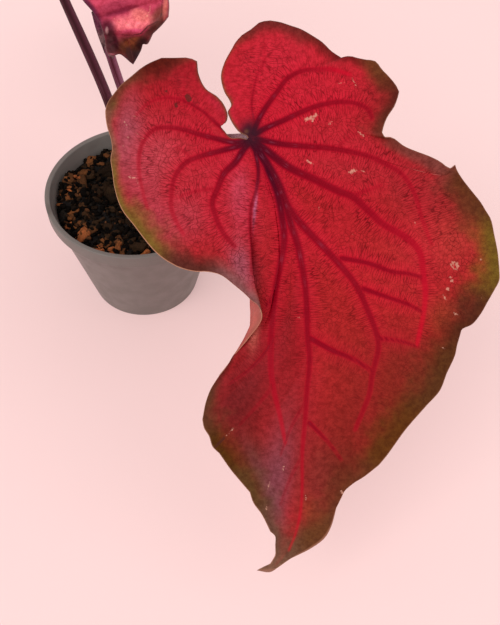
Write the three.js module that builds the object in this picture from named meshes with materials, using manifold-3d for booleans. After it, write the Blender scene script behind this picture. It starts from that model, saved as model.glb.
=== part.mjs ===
// A caladium in a small nursery pot: pot, soil, tuber and three leaves, each a stalk and a blade.
// Millimetres, +Z up, origin at the centre of the pot's base. The front leaf hangs towards -Y.

import * as THREE from "three";
import { mergeVertices } from "three/addons/utils/BufferGeometryUtils.js";
import Module from "manifold-3d";

const wasm = await Module();
wasm.setup();

// Touching pieces keep this gap
const GAP = 0.3;

// Pot: a thin moulded cone with a collar under its rim
const POT = {
  height: 52,
  rimRadius: 35,
  baseRadius: 22,
  wall: 1.1,
  floor: 1.4,
  collarHeight: 6,
  collarDepth: 0.8,
  segments: 48,
  drainRadius: 2.6,
  drainRing: 13,
  drains: 5,
  footBevel: 0.8,
  collarStep: 0.4,
  collarTaper: 0.2,
  rimBevel: 0.4,
  innerBevel: 0.3,
};

// Soil: its top lies this far below the rim, with bark chips sunk in it. Each is turned by up to half its
// pitch and roll, in radians, and its centre is raised by a share of its height. A flat edge meets the pot.
const SOIL = {
  belowRim: 7,
  segments: 28,
  relief: 0.9,
  chips: 38,
  chipLength: [4, 9],
  chipWidth: [2.2, 4.8],
  chipHeight: [1.4, 3.2],
  chipReach: 33,
  chipPitch: 0.7,
  chipRoll: 0.9,
  chipRaised: [0.05, 0.3],
  flatEdge: 1,
  belowRimAtMost: 0.5,
};

// Tuber: a squat body, which the stalks' feet are drawn into
const TUBER = { x: 4, y: 0, z: 24, radius: 12, squash: 0.72, bumps: 0.07, footDepth: 1 };

// Stalks: the route is drawn from the tuber to the blade, and the radius goes from foot to joint
const STALKS = {
  front: { foot: [8, -5], radius: [2.3, 1.35], route: [[9, -7, 62], [13, -14, 86], [26, -31, 106]] },
  left: {
    foot: [-2, 1.5],
    radius: [2.3, 1.5],
    route: [[-4, 8, 58], [-10, 18, 78], [-25, 36, 109], [-36, 50, 128]],
  },
  young: {
    foot: [5.5, 5.5],
    radius: [1.9, 1.1],
    route: [[1.5, 12, 66], [-6, 21, 86], [-12, 29.5, 110], [-13, 37, 134]],
  },
};
const STALK = { sides: 10, steps: 22, sheath: 1.35, sheathLength: 0.16, belowRibs: 0.5 };

// Holes for the stalks in the soil: they start this far below the foot and are this much wider than the gap
const HOLE = { below: 2, slack: 0.15 };

// Blades: the midrib stands furthest below the blade, and the tissue puffs up between two ribs
const BLADE = { thickness: 0.8, midribDepth: 1.1, midribFade: 0.75, ribHalfWidth: 1.3, puff: 0.05 };

// Rows of a blade's faces, from its midrib at 0 to its margin at 1
const ROWS = [0, 0.05, 0.18, 0.35, 0.54, 0.73, 0.88, 1];

// Each blade is drawn flat, in millimetres from its stalk joint, with the tip towards -Y and the upper side
// towards +Z. A sector holds the rib that it starts with, from root to margin, and the margin from that
// rib's end to the next rib's end. A point is [x, y] or [x, y, lift]. `root` is the rib's start along the
// midrib, from 0 at the joint to 1 at the tip. The first rib on each side is the free edge of the notch.
const FRONT_BLADE = {
  joint: [42.6, -42.7, 119.5],
  heading: 0,
  lean: 36.7,
  roll: 2.1,
  eye: [0.6, -52, 265],
  midrib: [
    [0, -1], [1.5, -3], [4.5, -7], [7, -11], [9.5, -16], [13, -26.5], [15.5, -36], [17, -45.5],
    [18.5, -60], [18, -72], [17.5, -84.5], [16, -97], [15, -110], [13, -117.5], [11, -123], [8, -126.5],
    [2.5, -128],
  ],
  ripple: { height: 0.7, waves: 7 },
  // Arched along its length, drooping to both sides of an axis that leans right, and again at the tip
  rise: (x, y) => {
    const along = (2300 - (y + 48) ** 2) / 560;
    const axis = 17 * Math.min(1, Math.max(0, -y / 45));
    const across = -((x - axis) ** 2) / 520;
    const droop = -8 * (Math.max(0, -y - 85) / 43) ** 2;
    return along + across + droop;
  },
  left: [
    {
      root: 0,
      rib: [[-2.5, -0.5], [-5, -0.5], [-7, 1.5], [-8, 3], [-6.5, 4], [-6, 6], [-7, 9], [-9, 11.5],
        [-12.5, 14], [-14.5, 18], [-15, 22]],
      edge: [[-17.5, 23], [-21.5, 23]],
      columns: 2,
    },
    {
      root: 0,
      rib: [[-3.5, -3], [-8.5, -1], [-13, 4.5], [-17, 9.5], [-22, 16], [-25.5, 23]],
      edge: [[-29, 21.5], [-31.5, 20], [-34.5, 17.5], [-37.5, 15], [-39.5, 12.5], [-41, 10.5, -1],
        [-42, 8, -1.5]],
      columns: 5,
      raised: 0.7,
    },
    {
      root: 0,
      rib: [[-4, -4], [-10, -2.5], [-15.5, -0.5], [-20, 1], [-25, 2.5], [-32, 4.5], [-42, 5.5, -2]],
      edge: [[-41.5, 2.5, -2], [-40.5, -0.5, -2], [-40, -4, -2.5], [-40.5, -6.5, -3], [-40, -10.5, -3]],
      columns: 4,
      raised: 0.9,
    },
    {
      root: 0,
      rib: [[-4, -5], [-9.5, -6], [-15.5, -7.5], [-20, -9.5], [-27.5, -12], [-33.5, -13.5],
        [-39.5, -14.5, -3]],
      edge: [[-38.5, -18.5, -3], [-37, -22, -3], [-33.5, -26.5, -2.5], [-30.5, -30.5, -2],
        [-27.5, -34, -1], [-24.5, -36.5, -0.5]],
      columns: 5,
      raised: 0.9,
    },
    {
      root: 0,
      rib: [[-3.5, -7.5], [-7, -11], [-9.5, -16], [-11.5, -22], [-15, -29], [-18.5, -34], [-21, -38.5]],
      edge: [[-18, -39.5, 0.5], [-15, -40, 1], [-12, -40, 2], [-8, -41, 3], [-4, -44, 4],
        [-1, -46.5, 5], [1, -48.5, 5.5], [3, -50, 6]],
      columns: 6,
      raised: 0.8,
    },
    {
      // Crest of the fold at the waist: the lobe rises to it and drops steeply behind
      root: 0,
      rib: [[2.5, -8.5, 0.4], [2.5, -15.5, 1], [1, -21, 1.8], [0.5, -27.5, 3], [1, -35, 4.2],
        [1.5, -42.5, 5.4], [3, -48.5, 6], [4, -52.5, 6]],
      edge: [[4, -54, 5.4], [3, -56, 4.4], [1, -58.5, 3], [-1, -61, 1.4]],
      columns: 3,
      raised: 0.4,
    },
    {
      // Bottom of the fold, hidden behind the crest
      root: 0,
      rib: [[3.5, -9.5, -0.2], [3.8, -16, -0.8], [2.5, -21.5, -1.2], [1.5, -27.5, -1.6], [0.8, -35, -2],
        [0.5, -42.5, -2.4], [0.5, -49, -2.6], [0.5, -56.5, -2.4], [-1.5, -60.5, -1.4], [-4.5, -65, 0]],
      edge: [[-6.5, -68, 0]],
      columns: 2,
      raised: 0,
    },
    {
      root: 0,
      rib: [[4.5, -11.5], [6, -20.5, -0.4], [6, -30.5, -1], [5, -41, -1.4], [3.8, -50, -1.4],
        [1.8, -58.5, -1], [-2.5, -65, -0.4], [-8.5, -70.5, 0.5]],
      edge: [[-11, -74.5, 1.2], [-12.5, -78.5, 2], [-13.5, -83.5, 2.4]],
      columns: 4,
      raised: 0.4,
    },
    {
      root: 0,
      rib: [[5.5, -12.5], [7.5, -20.5], [8, -30.5], [7.4, -42.5], [6, -54], [2.8, -63],
        [-2.5, -73.5, 0.5], [-7.5, -80.5, 1.2], [-13, -86, 2.4]],
      edge: [[-11.5, -88.5, 2], [-10.5, -91.5, 1.6], [-8.5, -93.5, 1], [-5, -98.5, 0],
        [-2.5, -101.5, -0.8], [0.5, -105, -1.2]],
      columns: 9,
      raised: 0.4,
    },
    {
      root: 0.25,
      rib: [[10.5, -25.5], [10.5, -32], [9.5, -40], [8, -50], [7, -62], [7.5, -73.5], [8, -82],
        [7.5, -92.5], [5.5, -101.5], [1.5, -108, -1]],
      edge: [[4, -111.5, -0.6]],
      columns: 5,
      raised: 0.9,
    },
    {
      root: 0.5,
      rib: [[17, -70.5], [15.5, -80.5], [14, -91], [12.5, -101.5], [10, -110], [6.5, -116.5]],
      edge: [[8, -118], [8, -120.5]],
      columns: 3,
      raised: 0.4,
    },
    {
      root: 0.6875,
      rib: [[16, -101.5], [14.5, -110], [12, -117.5], [8, -123.5]],
      edge: [[6.5, -126], [4.5, -127.5]],
      columns: 6,
      raised: 0.3,
    },
  ],
  right: [
    {
      root: 0,
      rib: [[-0.5, 0], [-2.5, 1], [-4.5, 3.5], [-5.5, 5.5], [-6, 7], [-5, 9], [-5.5, 10.5], [-7, 13],
        [-8, 17.5], [-7, 21.5], [-4, 27]],
      edge: [[-2, 29.5], [1, 31.5], [3.5, 33.5]],
      columns: 4,
    },
    {
      root: 0,
      rib: [[2, 4], [1.5, 9.5], [2, 14], [3, 19.5], [4.5, 25.5], [6.5, 34]],
      edge: [[9.5, 33.5], [12.5, 32.5], [15.5, 31.5], [19, 29.5], [22, 27.5], [24.5, 25]],
      columns: 5,
      raised: 0.5,
    },
    {
      root: 0,
      rib: [[3, 3.8], [5.5, 8.5], [9, 14], [13, 17.5], [17.5, 19.5], [22.5, 21], [27.5, 23]],
      edge: [[30, 23.5, 0.6], [32, 23, 1], [34.5, 22.5, 1], [37.5, 22], [39.5, 19.5, -1],
        [41, 18, -1.5], [43.5, 15, -2]],
      columns: 5,
      raised: 0.9,
    },
    {
      root: 0,
      rib: [[4.5, 2.5], [10.5, 4.5], [16, 7], [22, 9], [28.5, 10.5], [36, 11.5], [44.5, 13, -2]],
      edge: [[44, 11, -1.6], [43, 8.5, -0.6], [41, 5.5, 0.8], [40, 3, 1.6]],
      columns: 3,
      raised: 0.8,
    },
    {
      root: 0,
      rib: [[5, 0.6], [8, 1], [15.5, 1.5], [24, 2.5], [32, 2], [39.5, 1, 2]],
      edge: [[40.5, -0.5, 2], [42.5, -0.5, 1.6], [46, -3, 1], [49.5, -4.5, 0.6], [53.5, -6, 0.6],
        [56.5, -7.5, 1], [59.5, -9.5, 1.6]],
      columns: 5,
      raised: 0.4,
    },
    {
      root: 0,
      rib: [[5.5, -0.8], [10.5, -2], [16, -3], [23, -3.5], [29.5, -4.5], [36.5, -6.5], [45, -8.5],
        [53.5, -9], [61, -8.5, 2]],
      edge: [[61.5, -10, 1.6], [63, -12.5, 0.8], [64.5, -14.5, 0], [66.5, -17, -0.8],
        [68.5, -19.5, -1.4], [70, -22, -2], [71.5, -24.5, -2.4], [72.5, -29, -2.8], [73.5, -34, -3]],
      columns: 7,
      raised: 0.9,
    },
    {
      root: 0,
      rib: [[6, -4.5], [12.5, -9], [20, -12.5], [27, -16], [33, -19.5], [40, -24.5], [47, -30],
        [56.5, -34.5], [65.5, -37.5], [74, -39, -3]],
      edge: [[74, -42.5, -2.6], [72.5, -45.5, -2], [70.5, -49, -1], [68.5, -52.5], [66, -55.5, 0.8],
        [63, -57, 1.2], [62.5, -58.5, 1], [61.5, -62], [61, -64.5, -0.8], [58.5, -70, -1.6],
        [56.5, -75, -1.6], [52.5, -79.5, -1], [48.5, -84, -0.4], [46, -87]],
      columns: 9,
      raised: 1,
    },
    {
      root: 0.25,
      rib: [[17.5, -27], [23, -32.5], [28.5, -38.5], [32.5, -44], [35.5, -50.5], [38.5, -58.5],
        [40.5, -69], [42, -80.5], [43.5, -90.5]],
      edge: [[41, -94, 0.6], [38.5, -97, 1]],
      columns: 5,
      raised: 1,
    },
    {
      root: 0.5,
      rib: [[24.5, -63.5], [29, -67.5], [32, -75], [34, -83.5], [34.5, -92.5], [34, -100.5, 1]],
      edge: [[31.5, -102, 0.6], [29.5, -103.5], [28.5, -104.5]],
      columns: 3,
      raised: 0.6,
    },
    {
      root: 0.6875,
      rib: [[21.5, -92.5], [24.5, -96], [26.5, -100.5], [27.5, -106.5]],
      edge: [[26, -109.5, -0.6], [24.5, -115, -1], [22.5, -118.5, -0.6], [18.5, -121.5], [12.5, -124.5],
        [6.5, -128.5]],
      columns: 6,
      raised: 0.4,
    },
  ],
};

// Left leaf: a full-grown heart on the far side, smaller than the front one
const LEFT_SECTORS = [
  {
    root: 0,
    rib: [[0.8, 0.5], [2, 4], [3.5, 9], [4, 14]],
    edge: [[6, 19]],
    columns: 2,
  },
  {
    root: 0,
    rib: [[3, 3], [7, 9], [11, 16], [13, 22]],
    edge: [[19, 22.5], [25, 21], [29, 17]],
    columns: 4,
    raised: 0.7,
  },
  {
    root: 0,
    rib: [[5, 0.5], [14, 3], [23, 7], [31, 11]],
    edge: [[33, 6], [34, 0]],
    columns: 3,
    raised: 0.7,
  },
  {
    root: 0,
    rib: [[6, -2.5], [17, -4.5], [27, -6.5], [35, -8]],
    edge: [[38, -13], [41, -20]],
    columns: 3,
    raised: 0.7,
  },
  {
    root: 0,
    rib: [[6, -6], [16, -14], [28, -21], [41, -27]],
    edge: [[41, -34], [39, -41], [36, -47]],
    columns: 5,
    raised: 0.8,
  },
  {
    root: 0.25,
    rib: [[10, -28], [20, -38], [28, -46], [33, -53]],
    edge: [[28, -60], [23, -67]],
    columns: 4,
    raised: 0.8,
  },
  {
    root: 0.5,
    rib: [[7, -54], [12, -64], [17, -74]],
    edge: [[12, -80], [6, -87]],
    columns: 5,
    raised: 0.5,
  },
];
const LEFT_BLADE = {
  joint: [-42, 58, 141],
  heading: -138,
  lean: 24,
  roll: 0,
  midrib: [
    [0, -1], [0.5, -12], [0, -24], [-0.5, -36], [-1, -48], [-1, -60], [-0.5, -72], [0.5, -84], [2, -95],
  ],
  ripple: { height: 2.2, waves: 3.5 },
  rise: (x, y) => (400 - (y + 20) ** 2) / 250 - x ** 2 / 190,
  left: mirrored(LEFT_SECTORS, 0.93),
  right: LEFT_SECTORS,
};

// Young leaf: small, hooded, hanging, its end shrivelled
const YOUNG_BLADE = {
  joint: [-7, 33.7, 142.8],
  heading: 0,
  lean: 36.7,
  roll: 2.1,
  eye: [47.4, -129, 292],
  midrib: [[0, 0], [1.5, -8], [3, -17], [5, -26], [6.5, -34], [8, -41.5], [9.5, -48.5]],
  ripple: { height: 0.5, waves: 5 },
  // Hooded across, hanging along, with the pouch's lip as a steep step and its dried end curled up
  rise: (x, y) => {
    const hood = -((x - 5) ** 2) / 30;
    const hang = -((y / 26) ** 2) * 4;
    const pouch = 3.4 / (1 + Math.exp(-(y + 34.5 - 0.25 * (x - 5)) / 0.9));
    const curl = 5 * (Math.max(0, -y - 37) / 11) ** 2;
    return hood + hang + pouch - 3.4 + curl;
  },
  left: [
    { root: 0, rib: [[-0.5, 3], [-0.5, 9.5]], edge: [[-2.5, 14]], columns: 2 },
    { root: 0, rib: [[-3, 6], [-6.5, 13]], edge: [[-10.5, 6.5], [-12, 2]], columns: 3, raised: 0.3 },
    { root: 0, rib: [[-6, -1.5], [-12.5, -3]], edge: [[-12.8, -8], [-12.5, -13]], columns: 3, raised: 0.3 },
    { root: 0, rib: [[-4, -8], [-10.5, -21]], edge: [[-7, -27.5], [-4, -31]], columns: 4, raised: 0.3 },
    {
      root: 1 / 3,
      rib: [[1, -25], [-2.2, -33.5]],
      edge: [[-1, -36], [0.2, -40], [0.6, -43]],
      columns: 3,
      raised: 0.3,
    },
    { root: 2 / 3, rib: [[4, -41], [1.2, -45.5]], edge: [[2.8, -46], [5, -45]], columns: 5, raised: 0.2 },
  ],
  right: [
    { root: 0, rib: [[1.5, 4], [2.5, 11.5]], edge: [[6.5, 15]], columns: 2 },
    { root: 0, rib: [[5, 6], [11, 12]], edge: [[13.5, 5], [14.5, 0]], columns: 3, raised: 0.3 },
    { root: 0, rib: [[7, -2.5], [15, -5]], edge: [[17, -9], [18, -13]], columns: 3, raised: 0.3 },
    { root: 0, rib: [[10, -12], [20, -21]], edge: [[20.6, -25], [21.2, -29]], columns: 4, raised: 0.3 },
    { root: 1 / 3, rib: [[12, -26], [21, -33]], edge: [[19.5, -35], [17.6, -37]], columns: 3, raised: 0.3 },
    {
      root: 2 / 3,
      rib: [[12, -37.5], [16, -38.5]],
      edge: [[14, -42], [12.9, -41.6], [12, -44]],
      columns: 5,
      raised: 0.2,
    },
  ],
};

function mirrored(sectors, width) {
  const flip = (points) => points.map(([x, y]) => [-x * width, y]);
  return sectors.map((sector) => ({ ...sector, rib: flip(sector.rib), edge: flip(sector.edge) }));
}

function curveThrough(points) {
  const places = points.map(([x, y, lift = 0]) => new THREE.Vector3(x, y, lift));
  return new THREE.CatmullRomCurve3(places, false, "centripetal");
}

// One side of a blade as panels, each between two ribs, the midrib and the margin
function panelsOf(blade, sectors) {
  const midrib = curveThrough(blade.midrib);
  const rootPoint = (root) => midrib.getPoint(root);
  const tip = rootPoint(1);
  const ribs = sectors.map((sector) => {
    const start = rootPoint(sector.root);
    return curveThrough([[start.x, start.y, start.z], ...sector.rib]);
  });
  return sectors.map((sector, i) => {
    const next = sectors[i + 1];
    const first = ribs[i];
    const last = next ? ribs[i + 1] : { getPointAt: () => tip.clone() };
    const begin = sector.rib.at(-1);
    const end = next ? next.rib.at(-1) : [tip.x, tip.y, tip.z];
    const span = [sector.root, next ? next.root : 1];
    return {
      first,
      last,
      margin: curveThrough([begin, ...sector.edge, end]),
      root: (u) => rootPoint(span[0] + (span[1] - span[0]) * u),
      columns: sector.columns,
      raised: [sector.raised ?? 0, next ? next.raised ?? 0 : 0],
      rootShare: (u) => span[0] + (span[1] - span[0]) * u,
      order: i / sectors.length,
      share: 1 / sectors.length,
    };
  });
}

// Coons patch: the blend of both ribs plus the blend of root and margin, less the blend of the four corners
function patchPoint(panel, u, t) {
  const first = panel.first.getPointAt(t);
  const last = panel.last.getPointAt(t);
  const corner = (s, k) => (s === 0 ? panel.first : panel.last).getPointAt(k);
  const point = first.clone().multiplyScalar(1 - u).addScaledVector(last, u);
  point.addScaledVector(panel.root(u), 1 - t).addScaledVector(panel.margin.getPointAt(u), t);
  point.addScaledVector(corner(0, 0), -(1 - u) * (1 - t)).addScaledVector(corner(1, 0), -u * (1 - t));
  point.addScaledVector(corner(0, 1), -(1 - u) * t).addScaledVector(corner(1, 1), -u * t);
  return point;
}

// The flat drawing gets its height: the blade's own rise, its rippled margin and the puff between ribs.
// A height moves a point along its line to the eye, if there is one, so the outline keeps its drawn form.
function bladePoint(blade, panel, u, t) {
  const point = patchPoint(panel, u, t);
  const width = panel.first.getPointAt(t).distanceTo(panel.last.getPointAt(t));
  const turns = 2 * Math.PI * blade.ripple.waves * (panel.order + u * panel.share);
  const ripple = blade.ripple.height * t ** 3 * Math.sin(turns);
  const puff = BLADE.puff * width * 4 * u * (1 - u) * Math.sin(Math.PI * t);
  const height = point.z + ripple + puff + blade.rise(point.x, point.y);
  const flat = new THREE.Vector3(point.x, point.y, 0);
  if (!blade.eye) return flat.setZ(height);
  const eye = new THREE.Vector3(...blade.eye);
  return flat.lerp(eye, height / eye.z);
}

// Columns of a panel at one row: both ribs, a column at each rib's foot, and even columns between
function columnPlaces(panel, t) {
  const width = panel.first.getPointAt(t).distanceTo(panel.last.getPointAt(t));
  const inner = panel.columns;
  const foot = Math.min(1 / (inner + 2), BLADE.ribHalfWidth / Math.max(width, 0.01));
  const places = [0];
  for (let k = 0; k <= inner; k++) places.push(foot + ((1 - 2 * foot) * k) / inner);
  places.push(1);
  return places;
}

// Middle surface of a blade: welded vertices, triangles facing up, and each vertex's rib depth below it
function middleSurface(blade) {
  const vertices = [];
  const ribs = [];
  const triangles = [];
  const known = new Map();
  const weld = (point, rib) => {
    const key = [point.x, point.y, point.z].map((value) => Math.round(value * 2000)).join();
    if (!known.has(key)) {
      known.set(key, vertices.length);
      vertices.push(point);
      ribs.push(0);
    }
    const index = known.get(key);
    ribs[index] = Math.max(ribs[index], rib);
    return index;
  };
  const addTriangle = (a, b, c, turned) => {
    if (a === b || b === c || a === c) return;
    triangles.push(turned ? [a, c, b] : [a, b, c]);
  };
  for (const [sectors, turned] of [[blade.left, false], [blade.right, true]]) {
    for (const panel of panelsOf(blade, sectors)) {
      const grid = ROWS.map((t) => {
        const places = columnPlaces(panel, t);
        return places.map((u, k) => {
          let rib = 0;
          if (k === 0) rib = panel.raised[0] * (1 - t);
          if (k === places.length - 1) rib = panel.raised[1] * (1 - t);
          if (t === 0) rib = BLADE.midribDepth * (1 - BLADE.midribFade * panel.rootShare(u));
          return weld(bladePoint(blade, panel, u, t), rib);
        });
      });
      for (let j = 0; j + 1 < grid.length; j++) {
        for (let k = 0; k + 1 < grid[j].length; k++) {
          addTriangle(grid[j][k], grid[j + 1][k], grid[j + 1][k + 1], turned);
          addTriangle(grid[j][k], grid[j + 1][k + 1], grid[j][k + 1], turned);
        }
      }
    }
  }
  return { vertices, ribs, triangles };
}

// Both faces lie half a thickness from the middle surface and are split into triangles alike
function bladeGeometry(blade) {
  const { vertices, ribs, triangles } = middleSurface(blade);
  const normals = vertices.map(() => new THREE.Vector3());
  const edges = new Map();
  for (const [a, b, c] of triangles) {
    const ab = vertices[b].clone().sub(vertices[a]);
    const ac = vertices[c].clone().sub(vertices[a]);
    const normal = ab.cross(ac);
    for (const corner of [a, b, c]) normals[corner].add(normal);
    for (const [from, to] of [[a, b], [b, c], [c, a]]) edges.set(`${from},${to}`, [from, to]);
  }
  const positions = [];
  const half = BLADE.thickness / 2;
  const addFace = (offsetOf) => {
    vertices.forEach((point, i) => {
      positions.push(...point.clone().addScaledVector(normals[i], offsetOf(i)));
    });
  };
  normals.forEach((normal) => normal.normalize());
  addFace(() => half);
  addFace((i) => -half - ribs[i]);
  const below = vertices.length;
  const index = [];
  for (const [a, b, c] of triangles) index.push(a, b, c, below + a, below + c, below + b);
  for (const [from, to] of edges.values()) {
    if (edges.has(`${to},${from}`)) continue;
    index.push(to, from, below + from, to, below + from, below + to);
  }
  const geometry = new THREE.BufferGeometry();
  geometry.setAttribute("position", new THREE.Float32BufferAttribute(positions, 3));
  geometry.setIndex(index);
  return geometry;
}

function toManifold(geometry) {
  const bare = geometry.clone();
  bare.deleteAttribute("normal");
  bare.deleteAttribute("uv");
  const welded = mergeVertices(bare, 1e-4);
  const vertProperties = new Float32Array(welded.attributes.position.array);
  const triVerts = new Uint32Array(welded.index.array);
  return new wasm.Manifold(new wasm.Mesh({ numProp: 3, vertProperties, triVerts }));
}

function toGeometry(solid) {
  const { vertProperties, triVerts } = solid.getMesh();
  const geometry = new THREE.BufferGeometry();
  geometry.setAttribute("position", new THREE.Float32BufferAttribute(vertProperties, 3));
  geometry.setIndex(new THREE.Uint32BufferAttribute(triVerts, 1));
  return geometry;
}

// Outer shell alone: hollows sealed between fused chips are filled and loose scraps dropped
function outerShell(solid) {
  return solid.decompose().reduce((best, shell) => (shell.volume() > best.volume() ? shell : best));
}

function seededRandom(seed) {
  let state = seed;
  return () => {
    state = (state * 1664525 + 1013904223) % 4294967296;
    return state / 4294967296;
  };
}

// A turned body about +Z from a profile of [radius, height] points
function turned(profile, segments) {
  const points = profile.map(([radius, height]) => new THREE.Vector2(radius, height));
  return new THREE.LatheGeometry(points, segments).rotateX(Math.PI / 2);
}

function verticalCylinder(radius, low, high, x, y, sides = 16) {
  const cylinder = new THREE.CylinderGeometry(radius, radius, high - low, sides).rotateX(Math.PI / 2);
  return cylinder.translate(x, y, (low + high) / 2);
}

// Radius of the pot's inner wall at a height
function innerRadius(z) {
  const slope = (POT.rimRadius - POT.collarDepth - POT.baseRadius) / POT.height;
  return POT.baseRadius + slope * z - POT.wall;
}

function potGeometry() {
  const { height, rimRadius, baseRadius, wall, floor, collarHeight } = POT;
  const { footBevel, collarStep, collarTaper, rimBevel, innerBevel } = POT;
  const collarLow = height - collarHeight;
  const profile = [
    [0, 0],
    [baseRadius - footBevel, 0],
    [baseRadius, footBevel],
    [innerRadius(collarLow) + wall, collarLow],
    [rimRadius - collarTaper, collarLow + collarStep],
    [rimRadius, height - rimBevel],
    [rimRadius - rimBevel, height],
    [innerRadius(height) + innerBevel, height],
    [innerRadius(height), height - rimBevel],
    [innerRadius(floor), floor],
    [0, floor],
  ];
  let pot = toManifold(turned(profile, POT.segments));
  for (let i = 0; i < POT.drains; i++) {
    const angle = (2 * Math.PI * i) / POT.drains;
    const place = [POT.drainRing * Math.cos(angle), POT.drainRing * Math.sin(angle)];
    pot = pot.subtract(toManifold(verticalCylinder(POT.drainRadius, -1, floor + 1, ...place)));
  }
  return toGeometry(pot);
}

// Squat tuber with a few low bumps
function tuberGeometry(extra = 0) {
  const geometry = new THREE.SphereGeometry(TUBER.radius + extra, 20, 12);
  const place = geometry.attributes.position;
  for (let i = 0; i < place.count; i++) {
    const point = new THREE.Vector3().fromBufferAttribute(place, i);
    const angle = Math.atan2(point.z, point.x);
    const level = point.y / (TUBER.radius + extra);
    const bump = 1 + TUBER.bumps * Math.sin(3 * angle + 0.6) * (1 - level ** 2);
    place.setXYZ(i, point.x * bump, point.y * TUBER.squash, point.z * bump);
  }
  return geometry.rotateX(Math.PI / 2).translate(TUBER.x, TUBER.y, TUBER.z);
}

// A stalk is drawn from a little inside the tuber, which is then cut out of it with a gap
function footHeight([x, y]) {
  const reach = Math.hypot(x - TUBER.x, y - TUBER.y) / TUBER.radius;
  return TUBER.z + TUBER.radius * TUBER.squash * Math.sqrt(1 - reach ** 2) - TUBER.footDepth;
}

function soilChip(random) {
  const between = ([low, high]) => low + (high - low) * random();
  const size = [between(SOIL.chipLength), between(SOIL.chipWidth), between(SOIL.chipHeight)];
  const chip = new THREE.BoxGeometry(...size);
  const angle = 2 * Math.PI * random();
  const radius = SOIL.chipReach * Math.sqrt(random());
  chip.rotateX(SOIL.chipPitch * (random() - 0.5));
  chip.rotateY(SOIL.chipRoll * (random() - 0.5));
  chip.rotateZ(2 * Math.PI * random());
  const level = POT.height - SOIL.belowRim + size[2] * between(SOIL.chipRaised);
  return chip.translate(radius * Math.cos(angle), radius * Math.sin(angle), level);
}

function soilGeometry() {
  const top = POT.height - SOIL.belowRim;
  const bottom = POT.floor + GAP;
  const rings = [1, 0.8, 0.6, 0.4, 0.2, 0];
  const radiusAt = (z) => innerRadius(z) - GAP;
  const profile = [[0, bottom], [radiusAt(bottom), bottom]];
  for (const share of rings) profile.push([radiusAt(top) * share, top]);
  const bed = turned(profile, SOIL.segments);
  const place = bed.attributes.position;
  for (let i = 0; i < place.count; i++) {
    const [x, y, z] = [place.getX(i), place.getY(i), place.getZ(i)];
    if (z < top - 0.01) continue;
    const relief = Math.sin(x / 3.1 + 1) * Math.cos(y / 2.7) + Math.sin((x + y) / 5);
    if (Math.hypot(x, y) < radiusAt(top) - SOIL.flatEdge) place.setZ(i, z + SOIL.relief * relief);
  }
  let soil = toManifold(bed);
  const random = seededRandom(7);
  for (let i = 0; i < SOIL.chips; i++) soil = soil.add(toManifold(soilChip(random)));
  const high = POT.height - SOIL.belowRimAtMost;
  const space = [[0, bottom], [radiusAt(bottom), bottom], [radiusAt(high), high], [0, high]];
  soil = outerShell(soil.intersect(toManifold(turned(space, SOIL.segments))));
  soil = soil.subtract(toManifold(tuberGeometry(GAP)));
  for (const { route, foot, radius } of Object.values(STALKS)) {
    const start = [...foot, footHeight(foot) - HOLE.below];
    const hole = stalkGeometry([start, ...route.slice(0, 2)], radius[0] + GAP + HOLE.slack, 1);
    soil = soil.subtract(toManifold(hole));
  }
  return toGeometry(outerShell(soil));
}

// Tapered stalk along its route, thicker at its sheathed foot, closed at both ends
function stalkGeometry(points, radius, taper) {
  const curve = curveThrough(points);
  const { sides, steps, sheath, sheathLength } = STALK;
  const frames = curve.computeFrenetFrames(steps, false);
  const positions = [];
  const index = [];
  for (let j = 0; j <= steps; j++) {
    const share = j / steps;
    const centre = curve.getPointAt(share);
    const swell = taper === 1 ? sheath : 1 + (sheath - 1) * Math.max(0, 1 - share / sheathLength);
    const size = radius * (1 + (taper - 1) * share) * swell;
    for (let k = 0; k < sides; k++) {
      const angle = (2 * Math.PI * k) / sides;
      const point = centre.clone().addScaledVector(frames.normals[j], size * Math.cos(angle));
      positions.push(...point.addScaledVector(frames.binormals[j], size * Math.sin(angle)));
    }
  }
  for (let j = 0; j < steps; j++) {
    for (let k = 0; k < sides; k++) {
      const [a, b] = [j * sides + k, j * sides + ((k + 1) % sides)];
      index.push(a, b, b + sides, a, b + sides, a + sides);
    }
  }
  const last = steps * sides;
  for (let k = 1; k + 1 < sides; k++) {
    index.push(0, k + 1, k, last, last + k, last + k + 1);
  }
  const geometry = new THREE.BufferGeometry();
  geometry.setAttribute("position", new THREE.Float32BufferAttribute(positions, 3));
  geometry.setIndex(index);
  return geometry;
}

// The blade's upright in its own frame, from its heading, its lean and its roll
function bladeFrame({ heading, lean, roll }) {
  const radians = THREE.MathUtils.degToRad;
  const turn = new THREE.Quaternion().setFromAxisAngle(new THREE.Vector3(0, 0, 1), radians(heading));
  const tilt = new THREE.Quaternion().setFromEuler(new THREE.Euler(radians(lean), 0, radians(roll)));
  return turn.multiply(tilt);
}

// The stalk ends just under the blade's joint
function stalkRoute({ foot, route }, blade) {
  const down = new THREE.Vector3(0, 0, -1).applyQuaternion(bladeFrame(blade));
  const clear = BLADE.thickness / 2 + BLADE.midribDepth + GAP + STALK.belowRibs;
  const end = new THREE.Vector3(...blade.joint).addScaledVector(down, clear - blade.rise(0, -1));
  return [[...foot, footHeight(foot)], ...route, [end.x, end.y, end.z]];
}

function finish(color, roughness) {
  return new THREE.MeshStandardMaterial({ color, roughness, metalness: 0, side: THREE.FrontSide });
}

const moulded = finish(0x827370, 0.55);
const mix = finish(0x2a211b, 0.95);
const cork = finish(0x6b4a33, 0.9);
const maroon = finish(0x4a1a26, 0.4);
const mauve = finish(0x703f50, 0.4);
const red = finish(0xa82634, 0.45);
const pink = finish(0xc4566f, 0.5);

function piece(name, geometry, material) {
  const mesh = new THREE.Mesh(geometry, material);
  mesh.name = name;
  return mesh;
}

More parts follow.
